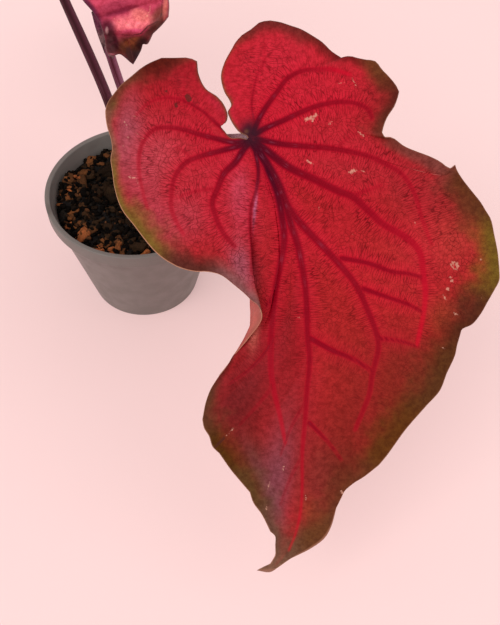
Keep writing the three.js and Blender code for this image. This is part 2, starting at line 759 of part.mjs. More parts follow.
function leaf(name, stalk, blade, stalkMaterial, bladeMaterial) {
  const group = new THREE.Group();
  const taper = stalk.radius[1] / stalk.radius[0];
  const whole = toManifold(stalkGeometry(stalkRoute(stalk, blade), stalk.radius[0], taper));
  const seated = outerShell(whole.subtract(toManifold(tuberGeometry(GAP))));
  group.add(piece(`${name}_stalk`, toGeometry(seated), stalkMaterial));
  const mesh = piece(`${name}_blade`, bladeGeometry(blade), bladeMaterial);
  mesh.position.set(...blade.joint);
  mesh.quaternion.copy(bladeFrame(blade));
  group.add(mesh);
  return group;
}

const group = new THREE.Group();
group.add(piece("pot", potGeometry(), moulded));
group.add(piece("soil", soilGeometry(), mix));
group.add(piece("tuber", tuberGeometry(), cork));
group.add(leaf("front", STALKS.front, FRONT_BLADE, maroon, red));
group.add(leaf("left", STALKS.left, LEFT_BLADE, maroon, red));
group.add(leaf("young", STALKS.young, YOUNG_BLADE, mauve, pink));

export default group;
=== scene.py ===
# A caladium in a small nursery pot, with one broad red leaf hanging forward over the rim, a second leaf
# behind and a shrivelled pink young leaf. Drawn in millimetres from the centre of the pot's base, +Z up,
# and put into the meshes in metres.

import math

import bpy
import numpy as np
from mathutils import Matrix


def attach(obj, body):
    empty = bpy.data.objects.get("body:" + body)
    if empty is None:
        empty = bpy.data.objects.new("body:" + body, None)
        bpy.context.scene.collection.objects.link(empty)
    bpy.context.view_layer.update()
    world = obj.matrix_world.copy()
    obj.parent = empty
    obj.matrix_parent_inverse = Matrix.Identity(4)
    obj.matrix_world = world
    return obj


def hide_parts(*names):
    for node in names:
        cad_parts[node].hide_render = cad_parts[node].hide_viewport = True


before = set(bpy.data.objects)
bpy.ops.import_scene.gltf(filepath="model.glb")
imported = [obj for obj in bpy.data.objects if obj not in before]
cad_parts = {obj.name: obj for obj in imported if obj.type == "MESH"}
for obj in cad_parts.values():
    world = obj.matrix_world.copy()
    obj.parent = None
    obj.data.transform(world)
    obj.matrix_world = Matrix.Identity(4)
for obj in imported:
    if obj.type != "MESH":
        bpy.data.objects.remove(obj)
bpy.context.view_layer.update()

# Pot: one thin nursery pot of warm grey polypropylene, injection moulded in one shot, with a shallow collar
# under its rim and five drain holes in its floor. Handling has left the skin satin and a little soiled.
MM = 0.001
POT_HEIGHT = 52
RIM_RADIUS = 35
BASE_RADIUS = 22
WALL = 1.1
FLOOR = 1.4
COLLAR_HEIGHT = 6
COLLAR_DEPTH = 0.8
COLLAR_STEP = 0.4
COLLAR_TAPER = 0.2
FOOT_TAPER = 0.1
EDGE_REACH = 0.55
CUT_LIMIT = 0.45
ARC_POINTS = 5
DRAIN_RADIUS = 2.6
DRAIN_RING = 13
DRAINS = 5
PLATE_LAP = 0.25
PLATE_LIFT = 0.05
PLATE_RINGS = 6
RIM_RAYS = 13
SIDE_RAYS = 25
TURNED_SIDES = 192
POT_GREY = (116, 110, 105)
POT_SOILED = (82, 72, 66)


def paint(red, green, blue):
    """Linear colour of an sRGB colour from 0 to 255: the sRGB curve, ((v + 0.055) / 1.055) ** 2.4."""
    levels = np.array([red, green, blue]) / 255
    linear = np.where(levels <= 0.04045, levels / 12.92, ((levels + 0.055) / 1.055) ** 2.4)
    return (*linear.tolist(), 1.0)


def new_finish(name, color, roughness, **sockets):
    """A material with its node tree and its Principled shader, and that shader's own values."""
    finish = bpy.data.materials.new(name)
    finish.use_nodes = True
    shader = finish.node_tree.nodes["Principled BSDF"]
    shader.inputs["Base Color"].default_value = color
    shader.inputs["Roughness"].default_value = roughness
    for socket, value in sockets.items():
        shader.inputs[socket.replace("_", " ")].default_value = value
    return finish, finish.node_tree, shader


def wire(tree, kind, sockets, **settings):
    """One shader node with its settings; each socket is given a value or the output that feeds it."""
    made = tree.nodes.new("ShaderNode" + kind)
    for setting, value in settings.items():
        setattr(made, setting, value)
    for socket, value in sockets.items():
        if isinstance(value, bpy.types.NodeSocket):
            tree.links.new(value, made.inputs[socket])
        else:
            made.inputs[socket].default_value = value
    return made


def sums(tree, operation, first, second=0.0, third=0.0):
    """A Math node's result."""
    return wire(tree, "Math", {0: first, 1: second, 2: third}, operation=operation).outputs[0]


def product(tree, first, *others):
    """All of these values, multiplied."""
    for other in others:
        first = sums(tree, "MULTIPLY", first, other)
    return first


def step_between(tree, value, low, high, at_low=0.0, at_high=1.0):
    """Smooth step of a value: at_low below low, at_high above high."""
    sockets = {"Value": value, "From Min": low, "From Max": high, "To Min": at_low, "To Max": at_high}
    return wire(tree, "MapRange", sockets, interpolation_type="SMOOTHSTEP").outputs["Result"]


def mix_paint(tree, share, low, high, blend="MIX"):
    """Colour `low` turning to `high` as the share goes from 0 to 1. Each is an output, or from 0 to 255."""
    low, high = (end if isinstance(end, bpy.types.NodeSocket) else paint(*end) for end in (low, high))
    sockets = {0: share, 6: low, 7: high}
    return wire(tree, "Mix", sockets, data_type="RGBA", blend_type=blend).outputs[2]


def noise(tree, places, scale, detail=3.0, roughness=0.55, distortion=0.0):
    """Noise from 0 to 1 at these places."""
    shape = {"Scale": scale, "Detail": detail, "Roughness": roughness, "Distortion": distortion}
    return wire(tree, "TexNoise", {"Vector": places, **shape}).outputs[0]


def object_places(tree):
    """Object coordinates, in metres."""
    return wire(tree, "TexCoord", {}).outputs["Object"]


def dress(tree, shader, colour, height, distance, roughness=None):
    """Feeds the shader its colour, a bumped normal, where `height` from 0 to 1 stands for `distance` metres,
    and its roughness."""
    tree.links.new(colour, shader.inputs["Base Color"])
    bump = wire(tree, "Bump", {"Height": height, "Distance": distance, "Strength": 1.0})
    tree.links.new(bump.outputs[0], shader.inputs["Normal"])
    if roughness is not None:
        tree.links.new(roughness, shader.inputs["Roughness"])


def make_piece(name, places, faces, finish):
    """A smooth mesh from places in millimetres and a list of face arrays, riding on the root."""
    mesh = bpy.data.meshes.new(name)
    mesh.from_pydata((places * MM).tolist(), [], [face for block in faces for face in block.tolist()])
    mesh.polygons.foreach_set("use_smooth", np.full(len(mesh.polygons), True))
    mesh.materials.append(finish)
    mesh.update()
    piece = bpy.data.objects.new(name, mesh)
    bpy.context.scene.collection.objects.link(piece)
    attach(piece, "root")
    return piece


def rounded_profile(corners, reach):
    """Closed profile of [radius, height] corners, each cut by a quadratic arc starting `reach` before it."""
    corners = np.array(corners, float)
    sides = [np.roll(corners, way, axis=0) - corners for way in (1, -1)]
    cuts = [np.minimum(CUT_LIMIT, reach / np.linalg.norm(side, axis=1))[:, None] for side in sides]
    start, end = (corners + side * cut for side, cut in zip(sides, cuts))
    share = np.linspace(0, 1, ARC_POINTS)[:, None, None]
    arcs = (1 - share) ** 2 * start + 2 * share * (1 - share) * corners + share**2 * end
    return arcs.transpose(1, 0, 2).reshape(-1, 2)


def ring_quads(rows, sides, closed):
    """Quads of a grid whose columns join up at their ends, and its rows too where it is closed."""
    index = np.arange(rows * sides).reshape(rows, sides)
    if closed:
        index = np.vstack([index, index[:1]])
    following = np.roll(index, -1, axis=1)
    return np.stack([index[:-1], following[:-1], following[1:], index[1:]], axis=-1).reshape(-1, 4)


def turned(profile, closed):
    """Places (radius cos a, radius sin a, height) of a profile carried round +Z, and its outward quads."""
    angle = np.arange(TURNED_SIDES) * 2 * np.pi / TURNED_SIDES
    radius, height = profile[:, :1], profile[:, 1:]
    grid = np.stack([radius * np.cos(angle), radius * np.sin(angle), height + 0 * angle], axis=-1)
    return grid.reshape(-1, 3), ring_quads(len(profile), TURNED_SIDES, closed)


def inner_radius(height):
    """Radius of the pot's inner wall at a height: a straight taper from the base."""
    return BASE_RADIUS + (RIM_RADIUS - COLLAR_DEPTH - BASE_RADIUS) / POT_HEIGHT * height - WALL


def floor_plate(radius, low, high):
    """The floor as wedges, one for each drain hole: every ray from a hole's edge runs to the nearest of the
    wedge's two sides and the floor's rim."""
    half = np.pi / DRAINS
    corner = np.arctan2(radius * np.sin(half), radius * np.cos(half) - DRAIN_RING)
    rays = np.concatenate([np.linspace(0, corner, RIM_RAYS), np.linspace(corner, np.pi, SIDE_RAYS)[1:]])
    rays = np.concatenate([rays, -rays[-2:0:-1]])
    along, across = np.cos(rays), np.abs(np.sin(rays))
    to_rim = -DRAIN_RING * along + np.sqrt(radius**2 - (DRAIN_RING * across) ** 2)
    slant = across * np.cos(half) - along * np.sin(half)
    to_side = DRAIN_RING * np.sin(half) / np.maximum(slant, 1e-9)
    reach = np.minimum(to_rim, to_side)
    distance = DRAIN_RADIUS + (reach - DRAIN_RADIUS) * np.linspace(0, 1, PLATE_RINGS)[:, None]
    x = DRAIN_RING + distance * np.cos(rays)
    y = distance * np.sin(rays)
    turn = (np.arange(DRAINS) * 2 * half)[:, None, None]
    plan = np.stack([x * np.cos(turn) - y * np.sin(turn), x * np.sin(turn) + y * np.cos(turn)], axis=-1)
    levels = np.stack([np.full(plan.shape[:3], low), np.full(plan.shape[:3], high)])
    grid = np.concatenate([np.stack([plan, plan]), levels[..., None]], axis=-1)
    index = np.arange(grid[..., 0].size).reshape(grid.shape[:-1])
    following = np.roll(index, -1, axis=-1)
    under = [index[0, :, :-1], following[0, :, :-1], following[0, :, 1:], index[0, :, 1:]]
    upper = [index[1, :, :-1], index[1, :, 1:], following[1, :, 1:], following[1, :, :-1]]
    hole = [index[0, :, 0], index[1, :, 0], following[1, :, 0], following[0, :, 0]]
    on_rim = (to_rim <= to_side + 1e-6) & np.roll(to_rim <= to_side + 1e-6, -1)
    edge = [index[0, :, -1], following[0, :, -1], following[1, :, -1], index[1, :, -1]]
    edge = [corners[:, on_rim] for corners in edge]
    quads = [np.stack(part, axis=-1).reshape(-1, 4) for part in (under, upper, hole, edge)]
    return grid.reshape(-1, 3), np.concatenate(quads)


def welded(places, faces, size=1e-3):
    """One vertex for each place, rounded to `size`, and the faces on them. Also gives the first place at each
    vertex and the vertex of each place."""
    keys = np.round(places / size).astype(np.int64)
    _, first, where = np.unique(keys, axis=0, return_index=True, return_inverse=True)
    return places[first], where.reshape(-1)[faces], first, where.reshape(-1)


collar_low = POT_HEIGHT - COLLAR_HEIGHT
foot = inner_radius(FLOOR)
wall_profile = rounded_profile(
    [
        [foot, 0],
        [BASE_RADIUS - FOOT_TAPER, 0],
        [inner_radius(collar_low) + WALL, collar_low],
        [RIM_RADIUS - COLLAR_TAPER, collar_low + COLLAR_STEP],
        [RIM_RADIUS, POT_HEIGHT],
        [inner_radius(POT_HEIGHT), POT_HEIGHT],
        [foot, FLOOR],
    ],
    EDGE_REACH,
)
wall_places, wall_quads = turned(wall_profile, True)
plate_places, plate_quads, _, _ = welded(*floor_plate(foot + PLATE_LAP, PLATE_LIFT, FLOOR))
pot_finish, tree, shader = new_finish("pot plastic", paint(*POT_GREY), 0.5, Specular_IOR_Level=0.45)
places = object_places(tree)
patches = step_between(tree, noise(tree, places, 45.0, 5.0), 0.52, 0.72)
specks = step_between(tree, noise(tree, places, 900.0, 2.0), 0.66, 0.74)
near_rim = step_between(tree, wire(tree, "SeparateXYZ", {0: places}).outputs[2], 0.040, 0.0515)
dirt = product(tree, patches, sums(tree, "MULTIPLY_ADD", near_rim, 0.55, 0.15))
dirt = sums(tree, "MAXIMUM", dirt, product(tree, specks, 0.25))
dress(
    tree,
    shader,
    mix_paint(tree, dirt, POT_GREY, POT_SOILED),
    noise(tree, places, 2500.0, 2.0),
    0.00002,
    step_between(tree, noise(tree, places, 160.0, 4.0), 0.3, 0.7, 0.42, 0.58),
)
pot_places = np.concatenate([wall_places, plate_places])
pot_quads = [wall_quads, plate_quads + len(wall_places)]
pot = make_piece("pot_shell", pot_places, pot_quads, pot_finish)
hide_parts("pot")

# Potting mix: near-black peat and composted bark, poured in and pressed round the tuber, its top 7 mm below
# the rim. Bark chips of many sizes lie in it, and those by the rim have dried to orange-brown, the palest
# towards the front left.
SOIL_LEVEL = POT_HEIGHT - 7
GAP = 0.3
SOIL_RINGS = 84
SOIL_RELIEF = 0.9
SOIL_WAVES = (3.1, 2.7, 5)
SOIL_LUMPS = [(0.55, 4.2, 1), (0.45, 1.9, 2), (0.2, 0.8, 3)]
SOIL_HEAP = 1.6
HEAP_FROM = -8
HEAP_SPAN = 20
SETTLED_EDGE = 1.2
PEAT = (15, 12, 10)
PEAT_LUMP = (40, 31, 23)


def rough_field(places, size, seed):
    """Smooth noise from -1 to 1: the corners of a cubic lattice of this size have random values, blended by a
    smooth step along each axis."""
    cell = places / size
    low = np.floor(cell).astype(np.int64)
    share = cell - low
    share = share * share * (3 - 2 * share)
    total = np.zeros(len(places))
    for corner in np.ndindex(2, 2, 2):
        key = (low + corner) @ np.array([73856093, 19349663, 83492791]) + seed * 362437
        key = (key ^ (key >> 13)) * 1274126177
        key = (key ^ (key >> 16)) & 65535
        weight = np.prod(np.where(corner, share, 1 - share), axis=1)
        total += weight * (key / 32767.5 - 1)
    return total


def rough_layers(places, layers):
    """Sum of rough fields at places of [x, y] or [x, y, z]; each layer has a share, a size and a seed."""
    places = np.pad(places, ((0, 0), (0, 3 - places.shape[1])))
    return sum(share * rough_field(places, size, seed) for share, size, seed in layers)


def whole(faces):
    """Which faces have no corner twice in a row."""
    return (faces != np.roll(faces, 1, axis=1)).all(axis=1)


def halves(quads):
    """Quads as triangles, without those that have a corner twice."""
    triangles = np.concatenate([quads[:, [0, 1, 2]], quads[:, [0, 2, 3]]])
    return triangles[whole(triangles)]


def soil_height(places):
    """Top of the mix: the solid's broad waves, with lumps of three smaller sizes on them, and heaped up a
    little on the left."""
    x, y = places[:, 0], places[:, 1]
    waves = np.sin(x / SOIL_WAVES[0] + 1) * np.cos(y / SOIL_WAVES[1]) + np.sin((x + y) / SOIL_WAVES[2])
    heaped = SOIL_HEAP * np.clip((HEAP_FROM - x) / HEAP_SPAN, 0, 1)
    return SOIL_LEVEL + SOIL_RELIEF * waves + rough_layers(places[:, :2], SOIL_LUMPS) + heaped


soil_radius = inner_radius(SOIL_LEVEL) - GAP
soil_top = np.stack([soil_radius * np.linspace(1, 0, SOIL_RINGS), np.full(SOIL_RINGS, SOIL_LEVEL)], axis=1)
soil_foot = [[0, FLOOR + GAP], [inner_radius(FLOOR + GAP) - GAP, FLOOR + GAP]]
soil_places, soil_quads = turned(np.concatenate([soil_foot, soil_top]), False)
on_top = soil_places[:, 2] > SOIL_LEVEL - 0.01
settle = np.clip((soil_radius - np.hypot(soil_places[:, 0], soil_places[:, 1])) / SETTLED_EDGE, 0, 1)
soil_places[on_top, 2] += (settle * (soil_height(soil_places) - SOIL_LEVEL))[on_top]
soil_places, soil_quads, _, _ = welded(soil_places, soil_quads)
peat, tree, shader = new_finish("peat", paint(*PEAT), 0.9, Specular_IOR_Level=0.2)
places = object_places(tree)
lumps = step_between(tree, noise(tree, places, 420.0, 5.0, 0.65), 0.48, 0.7)
dress(tree, shader, mix_paint(tree, lumps, PEAT, PEAT_LUMP), noise(tree, places, 1400.0, 5.0, 0.7), 0.0006)
soil_faces = [soil_quads[whole(soil_quads)], halves(soil_quads[~whole(soil_quads)])]
soil = make_piece("soil_bed", soil_places, soil_faces, peat)
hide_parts("soil")

# Bark chips: split flakes of composted pine bark. The 38 largest lie where the solid's chips do, and the
# smaller ones fill in between, more of them by the rim, where watering has washed them.
CHIPS = 38
CHIP_SIZES = np.array([(4, 9), (2.2, 4.8), (1.4, 3.2)])
CHIP_REACH = 33
CHIP_PITCH = 0.7
CHIP_ROLL = 0.9
SMALL_CHIPS = 260
SMALL_SIZES = [(1.6, 5.2), (1.0, 2.8), (0.7, 1.7)]
SMALL_TURNS = [(-0.5, 0.5), (-0.6, 0.6), (0, 2 * np.pi)]
CHIP_COLOURS = [(22, 16, 12), (62, 44, 29), (128, 78, 44), (184, 104, 60)]
BARK_PORES = (22, 16, 12)
DRY_FROM = 19
DRY_SPAN = 9


def seeded_draws(seed, count):
    """The solid's own random draws: a linear congruential generator, from 0 to 1."""
    state = seed
    draws = []
    for _ in range(count):
        state = (state * 1664525 + 1013904223) % 4294967296
        draws.append(state / 4294967296)
    return np.array(draws)


def turn_matrices(x_turn, y_turn, z_turn):
    """Rotation matrices Rz Ry Rx of whole arrays of angles."""
    one, nought = np.ones_like(x_turn), np.zeros_like(x_turn)
    cx, sx, cy, sy = np.cos(x_turn), np.sin(x_turn), np.cos(y_turn), np.sin(y_turn)
    cz, sz = np.cos(z_turn), np.sin(z_turn)
    about_x = np.array([[one, nought, nought], [nought, cx, -sx], [nought, sx, cx]])
    about_y = np.array([[cy, nought, sy], [nought, one, nought], [-sy, nought, cy]])
    about_z = np.array([[cz, -sz, nought], [sz, cz, nought], [nought, nought, one]])
    return np.einsum("ijn,jkn,kln->nil", about_z, about_y, about_x)


def block_shape(side, power):
    """A rounded block of unit size: a cube's grid of faces, pushed out to a superellipsoid of this power."""
    share = np.linspace(-1, 1, side + 1)
    u, v = np.meshgrid(share, share, indexing="ij")
    cube = [
        np.roll(np.stack([np.full_like(u, sign), sign * u, v], axis=-1), axis, axis=-1)
        for axis in range(3)
        for sign in (-1, 1)
    ]
    grid = np.stack(cube)
    grid = grid / (np.abs(grid) ** power).sum(-1, keepdims=True) ** (1 / power)
    index = np.arange(grid[..., 0].size).reshape(grid.shape[:-1])
    quads = np.stack([index[:, :-1, :-1], index[:, 1:, :-1], index[:, 1:, 1:], index[:, :-1, 1:]], axis=-1)
    return welded(grid.reshape(-1, 3), quads.reshape(-1, 4))[:2]


def in_plan(reach, bearing):
    """Places [x, y] at these distances and bearings from the pot's axis."""
    return np.stack([reach * np.cos(bearing), reach * np.sin(bearing)], axis=1)


def read_attribute(tree, name, output="Fac"):
    """A vertex attribute of the piece that the finish is on."""
    return wire(tree, "Attribute", {}, attribute_name=name).outputs[output]


def give(piece, **attributes):
    """Vertex attributes of a piece, each with one number or one vector for each vertex."""
    for name, values in attributes.items():
        kind, field = ("FLOAT", "value") if values.ndim == 1 else ("FLOAT_VECTOR", "vector")
        if values.ndim == 2:
            values = np.pad(values, ((0, 0), (0, 3 - values.shape[1])))
        layer = piece.data.attributes.new(name, kind, "POINT")
        layer.data.foreach_set(field, np.ascontiguousarray(values, dtype=np.float32).reshape(-1))


def bark_finish(name, colours):
    """Bark of several browns, picked by the piece's own `tone`, grained along the chip."""
    finish, tree, shader = new_finish(name, paint(*colours[0]), 0.9, Specular_IOR_Level=0.04)
    places = object_places(tree)
    ramp = wire(tree, "ValToRGB", {0: read_attribute(tree, "tone")})
    stops = ramp.color_ramp.elements
    for number in range(1, len(colours) - 1):
        stops.new(number / (len(colours) - 1))
    for stop, colour in zip(stops, colours):
        stop.color = paint(*colour)
    grain = step_between(tree, noise(tree, places, 700.0, 5.0, 0.7, 1.5), 0.35, 0.7, 0.0, 0.55)
    colour = mix_paint(tree, grain, ramp.outputs[0], BARK_PORES)
    dress(tree, shader, colour, noise(tree, places, 1500.0, 4.0, 0.7), 0.0004)
    return finish


def strew(name, shape, sizes, turns, centres, roughness, seed, finish, tone):
    """A piece of many copies of one shape: each is scaled, turned, moved and roughened by noise, all as whole
    arrays, and has its own tone."""
    block, quads = shape
    places = np.einsum("nij,nvj->nvi", turns, block[None] * sizes[:, None] / 2) + centres[:, None]
    flat = places.reshape(-1, 3)
    push = [rough_layers(flat, [(1, 1.5, seed + axis), (0.5, 0.6, seed + 3 + axis)]) for axis in range(3)]
    limit = np.repeat(sizes.min(axis=1), len(block)) * roughness
    flat = flat + np.stack(push).T * limit[:, None]
    steps = np.arange(len(sizes))[:, None, None] * len(block)
    piece = make_piece(name, flat, [(quads[None] + steps).reshape(-1, 4)], finish)
    give(piece, tone=np.repeat(tone, len(block)))


draws = seeded_draws(7, CHIPS * 9).reshape(CHIPS, 9)
sizes = CHIP_SIZES[:, 0] + (CHIP_SIZES[:, 1] - CHIP_SIZES[:, 0]) * draws[:, :3]
plan = in_plan(CHIP_REACH * np.sqrt(draws[:, 4]), 2 * np.pi * draws[:, 3])
pitch, roll = CHIP_PITCH * (draws[:, 5] - 0.5), CHIP_ROLL * (draws[:, 6] - 0.5)
turns = turn_matrices(pitch, roll, 2 * np.pi * draws[:, 7])
level = SOIL_LEVEL + sizes[:, 2] * (0.05 + 0.25 * draws[:, 8])
random = np.random.default_rng(11)
small_reach = soil_radius * np.sqrt(random.uniform(0.03, 0.96, SMALL_CHIPS))
small_plan = in_plan(small_reach, random.uniform(0, 2 * np.pi, SMALL_CHIPS))
small_sizes = np.stack([random.uniform(*limits, SMALL_CHIPS) for limits in SMALL_SIZES], axis=1)
small_level = soil_height(small_plan) + small_sizes[:, 2] * 0.15
small_turns = turn_matrices(*(random.uniform(*limits, SMALL_CHIPS) for limits in SMALL_TURNS))
sizes = np.concatenate([sizes, small_sizes])
plan = np.concatenate([plan, small_plan])
turns = np.concatenate([turns, small_turns])
room = inner_radius(SOIL_LEVEL) - 0.6 - 0.5 * sizes[:, 0]
plan *= np.minimum(1, room / np.maximum(np.hypot(*plan.T), 1e-6))[:, None]
by_rim = np.clip((np.hypot(*plan.T) - DRY_FROM) / DRY_SPAN, 0, 1)
front_left_share = np.clip(0.45 - (0.8 * plan[:, 0] + 0.6 * plan[:, 1]) / 30, 0.1, 1)
tone = random.uniform(0, 0.34, len(sizes)) + by_rim * front_left_share * random.uniform(0.2, 0.95, len(sizes))
centres = np.column_stack([plan, np.concatenate([level, small_level])])
bark = bark_finish("bark", CHIP_COLOURS)
strew("bark_chips", block_shape(6, 4.5), sizes, turns, centres, 0.16, 20, bark, tone)

# Crumbs of peat and grit: the fine part of the mix, left loose on its top by watering. They are rounded and
# near-black, with a few paler grains of bark.
CRUMBS = 1900
CRUMB_COLOURS = [(9, 7, 6), (18, 14, 11), (44, 32, 22), (108, 68, 42)]
crumb_reach = soil_radius * np.sqrt(random.uniform(0, 0.97, CRUMBS))
crumb_plan = in_plan(crumb_reach, random.uniform(0, 2 * np.pi, CRUMBS))
crumb_sizes = random.uniform(0.5, 1.9, (CRUMBS, 1)) ** 1.3 * random.uniform(0.65, 1.2, (CRUMBS, 3))
centres = np.column_stack([crumb_plan, soil_height(crumb_plan) + 0.25 * crumb_sizes[:, 2]])
turns = turn_matrices(*random.uniform(0, 2 * np.pi, (3, CRUMBS)))
tone = random.uniform(0, 1, CRUMBS) ** 3
grit = bark_finish("grit", CRUMB_COLOURS)
strew("soil_crumbs", block_shape(2, 2.2), crumb_sizes, turns, centres, 0.22, 40, grit, tone)

# Tuber: the squat corky body under the mix that the stalks grow from. Its solid is kept, with a dry papery
# skin ringed by old leaf bases.
tuber_skin, tree, shader = new_finish("tuber skin", paint(110, 80, 58), 0.85)
rings = wire(
    tree, "TexWave", {"Vector": object_places(tree), "Scale": 190.0, "Distortion": 4.0}, bands_direction="Z"
).outputs["Fac"]
dress(tree, shader, mix_paint(tree, rings, (74, 50, 36), (128, 96, 70)), rings, 0.0003)
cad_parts["tuber"].data.materials.clear()
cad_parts["tuber"].data.materials.append(tuber_skin)

# Leaf stalks: fleshy round petioles, swollen at the sheath where they leave the tuber and thinning to the
# blade, where they flare into its ribs. Waxy, dark maroon on the old leaves and mauve on the young one.
TUBER_CENTRE = (4, 0, 24)
TUBER_RADIUS = 12
TUBER_SQUASH = 0.72
STALK_SIDES = 40
STALK_STEPS = 220
SHEATH = 1.35
SHEATH_LENGTH = 0.16
CHANNEL_DEPTH = 0.16
CHANNEL_AT = 1.2
CHANNEL_WIDTH = 0.5
RIDGES = 9
RIDGE_DEPTH = 0.012
FLARE = 0.5
FLARE_REACH = 1.6
UNDER_RIBS = 2.3
INTO_BLADE = 0.75
STREAK_LENGTH = 40
STALKS = {
    "front": {"foot": (8, -5), "radius": (2.3, 1.35), "route": [(9, -7, 62), (13, -14, 86), (26, -31, 106)]},
    "left": {
        "foot": (-2, 1.5),
        "radius": (2.3, 1.5),
        "route": [(-4, 8, 58), (-10, 18, 78), (-25, 36, 109), (-36, 50, 128)],
    },
    "young": {
        "foot": (5.5, 5.5),
        "radius": (2.0, 1.35),
        "route": [(1.5, 12, 66), (-6, 21, 86), (-12, 29.5, 110), (-13, 37, 134)],
    },
}


def spline(points):
    """Centripetal Catmull-Rom curve through points of [x, y] or [x, y, lift]: a knot step is the square root
    of a chord. Gives places at shares of the points' count."""
    knots = np.array([(*point, 0.0)[:3] for point in points], float)
    knots = np.vstack([2 * knots[0] - knots[1], knots, 2 * knots[-1] - knots[-2]])
    steps = np.maximum(((np.diff(knots, axis=0) ** 2).sum(1)) ** 0.25, 1e-4)
    spans = len(knots) - 3

    def place(share):
        run = np.clip(share, 0, 1) * spans
        i = np.minimum(run.astype(int), spans - 1)
        w = (run - i)[..., None]
        a, b, c, d = (knots[i + k] for k in range(4))
        before, at, after = (steps[i + k][..., None] for k in range(3))
        leave = ((b - a) / before - (c - a) / (before + at) + (c - b) / at) * at
        arrive = ((c - b) / at - (d - b) / (at + after) + (d - c) / after) * at
        cubic = 2 * b - 2 * c + leave + arrive
        square = -3 * b + 3 * c - 2 * leave - arrive
        return b + w * (leave + w * (square + w * cubic))

    return place


def evenly(place):
    """The same curve by shares of its length, and that length."""
    table = np.linspace(0, 1, 201)
    run = np.linalg.norm(np.diff(place(table), axis=0), axis=1)
    run = np.concatenate([[0], np.cumsum(run)])
    return lambda share: place(np.interp(share * run[-1], run, table)), run[-1]


def ring_round(tangent, angle):
    """Unit vectors round a path at these angles: cos a times its side plus sin a times its other side."""
    tangent = tangent / np.linalg.norm(tangent, axis=-1, keepdims=True)
    side = np.cross(tangent, [1.0, 0.0, 0.0])
    side = side / np.linalg.norm(side, axis=-1, keepdims=True)
    return side * np.cos(angle)[:, None] + np.cross(tangent, side) * np.sin(angle)[:, None]


def blade_turn(blade):
    """Rotation of a blade's own frame: Rz(heading) Rx(lean) Rz(roll)."""
    heading, lean, roll = (np.radians([blade[key]]) for key in ("heading", "lean", "roll"))
    nought = np.zeros(1)
    return turn_matrices(lean, nought, heading)[0] @ turn_matrices(nought, nought, roll)[0]


def foot_height(x, y):
    """Top of the tuber's ellipsoid under a stalk, less 1 mm."""
    reach = math.hypot(x - TUBER_CENTRE[0], y - TUBER_CENTRE[1]) / TUBER_RADIUS
    return TUBER_CENTRE[2] + TUBER_RADIUS * TUBER_SQUASH * math.sqrt(1 - reach**2) - 1


def stalk_surface(points, radius):
    """Tube along a spline: its radius falls evenly, with a sheath at the foot, a shallow channel up one side
    of the sheath, faint ridges along it and a flare into the blade. Closed by a point at each end. Also gives
    each place's flow, round the stalk and along it, and its share of the way up."""
    path, length = evenly(spline(points))
    share = np.linspace(0, 1, STALK_STEPS + 1)
    centre = path(share)
    angle = np.arange(STALK_SIDES) * 2 * np.pi / STALK_SIDES
    foot = np.maximum(0, 1 - share / SHEATH_LENGTH)
    size = radius[0] + (radius[1] - radius[0]) * share
    size = size * (1 + (SHEATH - 1) * foot)
    size = size + FLARE * np.exp(-((1 - share) * length / FLARE_REACH))
    across = np.angle(np.exp(1j * (angle - CHANNEL_AT))) / CHANNEL_WIDTH
    channel = 1 - CHANNEL_DEPTH * foot[:, None] * np.exp(-(across**2))
    ridges = 1 + RIDGE_DEPTH * np.sin(RIDGES * angle + 2 * np.sin(7 * share[:, None]))
    swell = 1 + 0.02 * np.sin(share * 23 + 1)[:, None]
    size = size[:, None] * channel * ridges * swell
    grid = centre[:, None] + size[..., None] * ring_round(np.gradient(centre, axis=0)[:, None], angle)
    first_end, last_end = (np.repeat(end[:, None], STALK_SIDES, 1) for end in (centre[:1], centre[-1:]))
    grid = np.concatenate([first_end, grid, last_end])
    run = np.concatenate([[0], share, [1]])[:, None] + 0 * angle
    flow = np.stack([np.cos(angle) + 0 * run, np.sin(angle) + 0 * run, run * length / STREAK_LENGTH], axis=-1)
    quads = ring_quads(len(grid), STALK_SIDES, False)
    return grid.reshape(-1, 3), quads, flow.reshape(-1, 3), run.reshape(-1)


def stalk_finish(name, dark, light, foot, head):
    """Waxy skin, streaked by noise drawn out along the stalk, with a painted sheen on its right side, and
    other tones at its foot and head."""
    finish, tree, shader = new_finish(name, paint(*dark), 0.42, Specular_IOR_Level=0.14)
    flow, run = read_attribute(tree, "flow", "Vector"), read_attribute(tree, "run")
    streaks = step_between(tree, noise(tree, flow, 2.6, 5.0, 0.6), 0.4, 0.7, 0.0, 0.45)
    # Painted sheen: the stalk's right side is painted paler, for the light it catches there.
    painted_sheen = step_between(tree, wire(tree, "SeparateXYZ", {0: flow}).outputs[1], -0.95, 0.0, 0.9, 0.0)
    colour = mix_paint(tree, sums(tree, "MAXIMUM", streaks, painted_sheen), dark, light)
    colour = mix_paint(tree, step_between(tree, run, 0.1, 0.5, 0.75, 0.0), colour, foot)
    colour = mix_paint(tree, step_between(tree, run, 0.84, 0.97), colour, head)
    dress(tree, shader, colour, noise(tree, flow, 9.0, 4.0, 0.6), 0.00012)
    return finish


def place_stalk(name, blade, finish):
    """A leaf's stalk from the tuber to the underside of its blade. Gives its route."""
    stalk = STALKS[name]
    rise_at_joint = float(blade["rise"](np.array(0.0), np.array(-1.0)))
    down = blade_turn(blade) @ np.array([0.0, 0.0, -1.0])
    depths = np.array([[UNDER_RIBS], [INTO_BLADE]]) - rise_at_joint
    ends = np.array(blade["joint"]) + down * depths
    points = [(*stalk["foot"], foot_height(*stalk["foot"])), *stalk["route"], *map(tuple, ends)]
    places, quads, flow, run = stalk_surface(points, stalk["radius"])
    places, quads, first, _ = welded(places, quads)
    piece = make_piece(name + "_leaf_stalk", places, [halves(quads)], finish)
    give(piece, flow=flow[first], run=run[first])
    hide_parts(name + "_stalk")
    return points
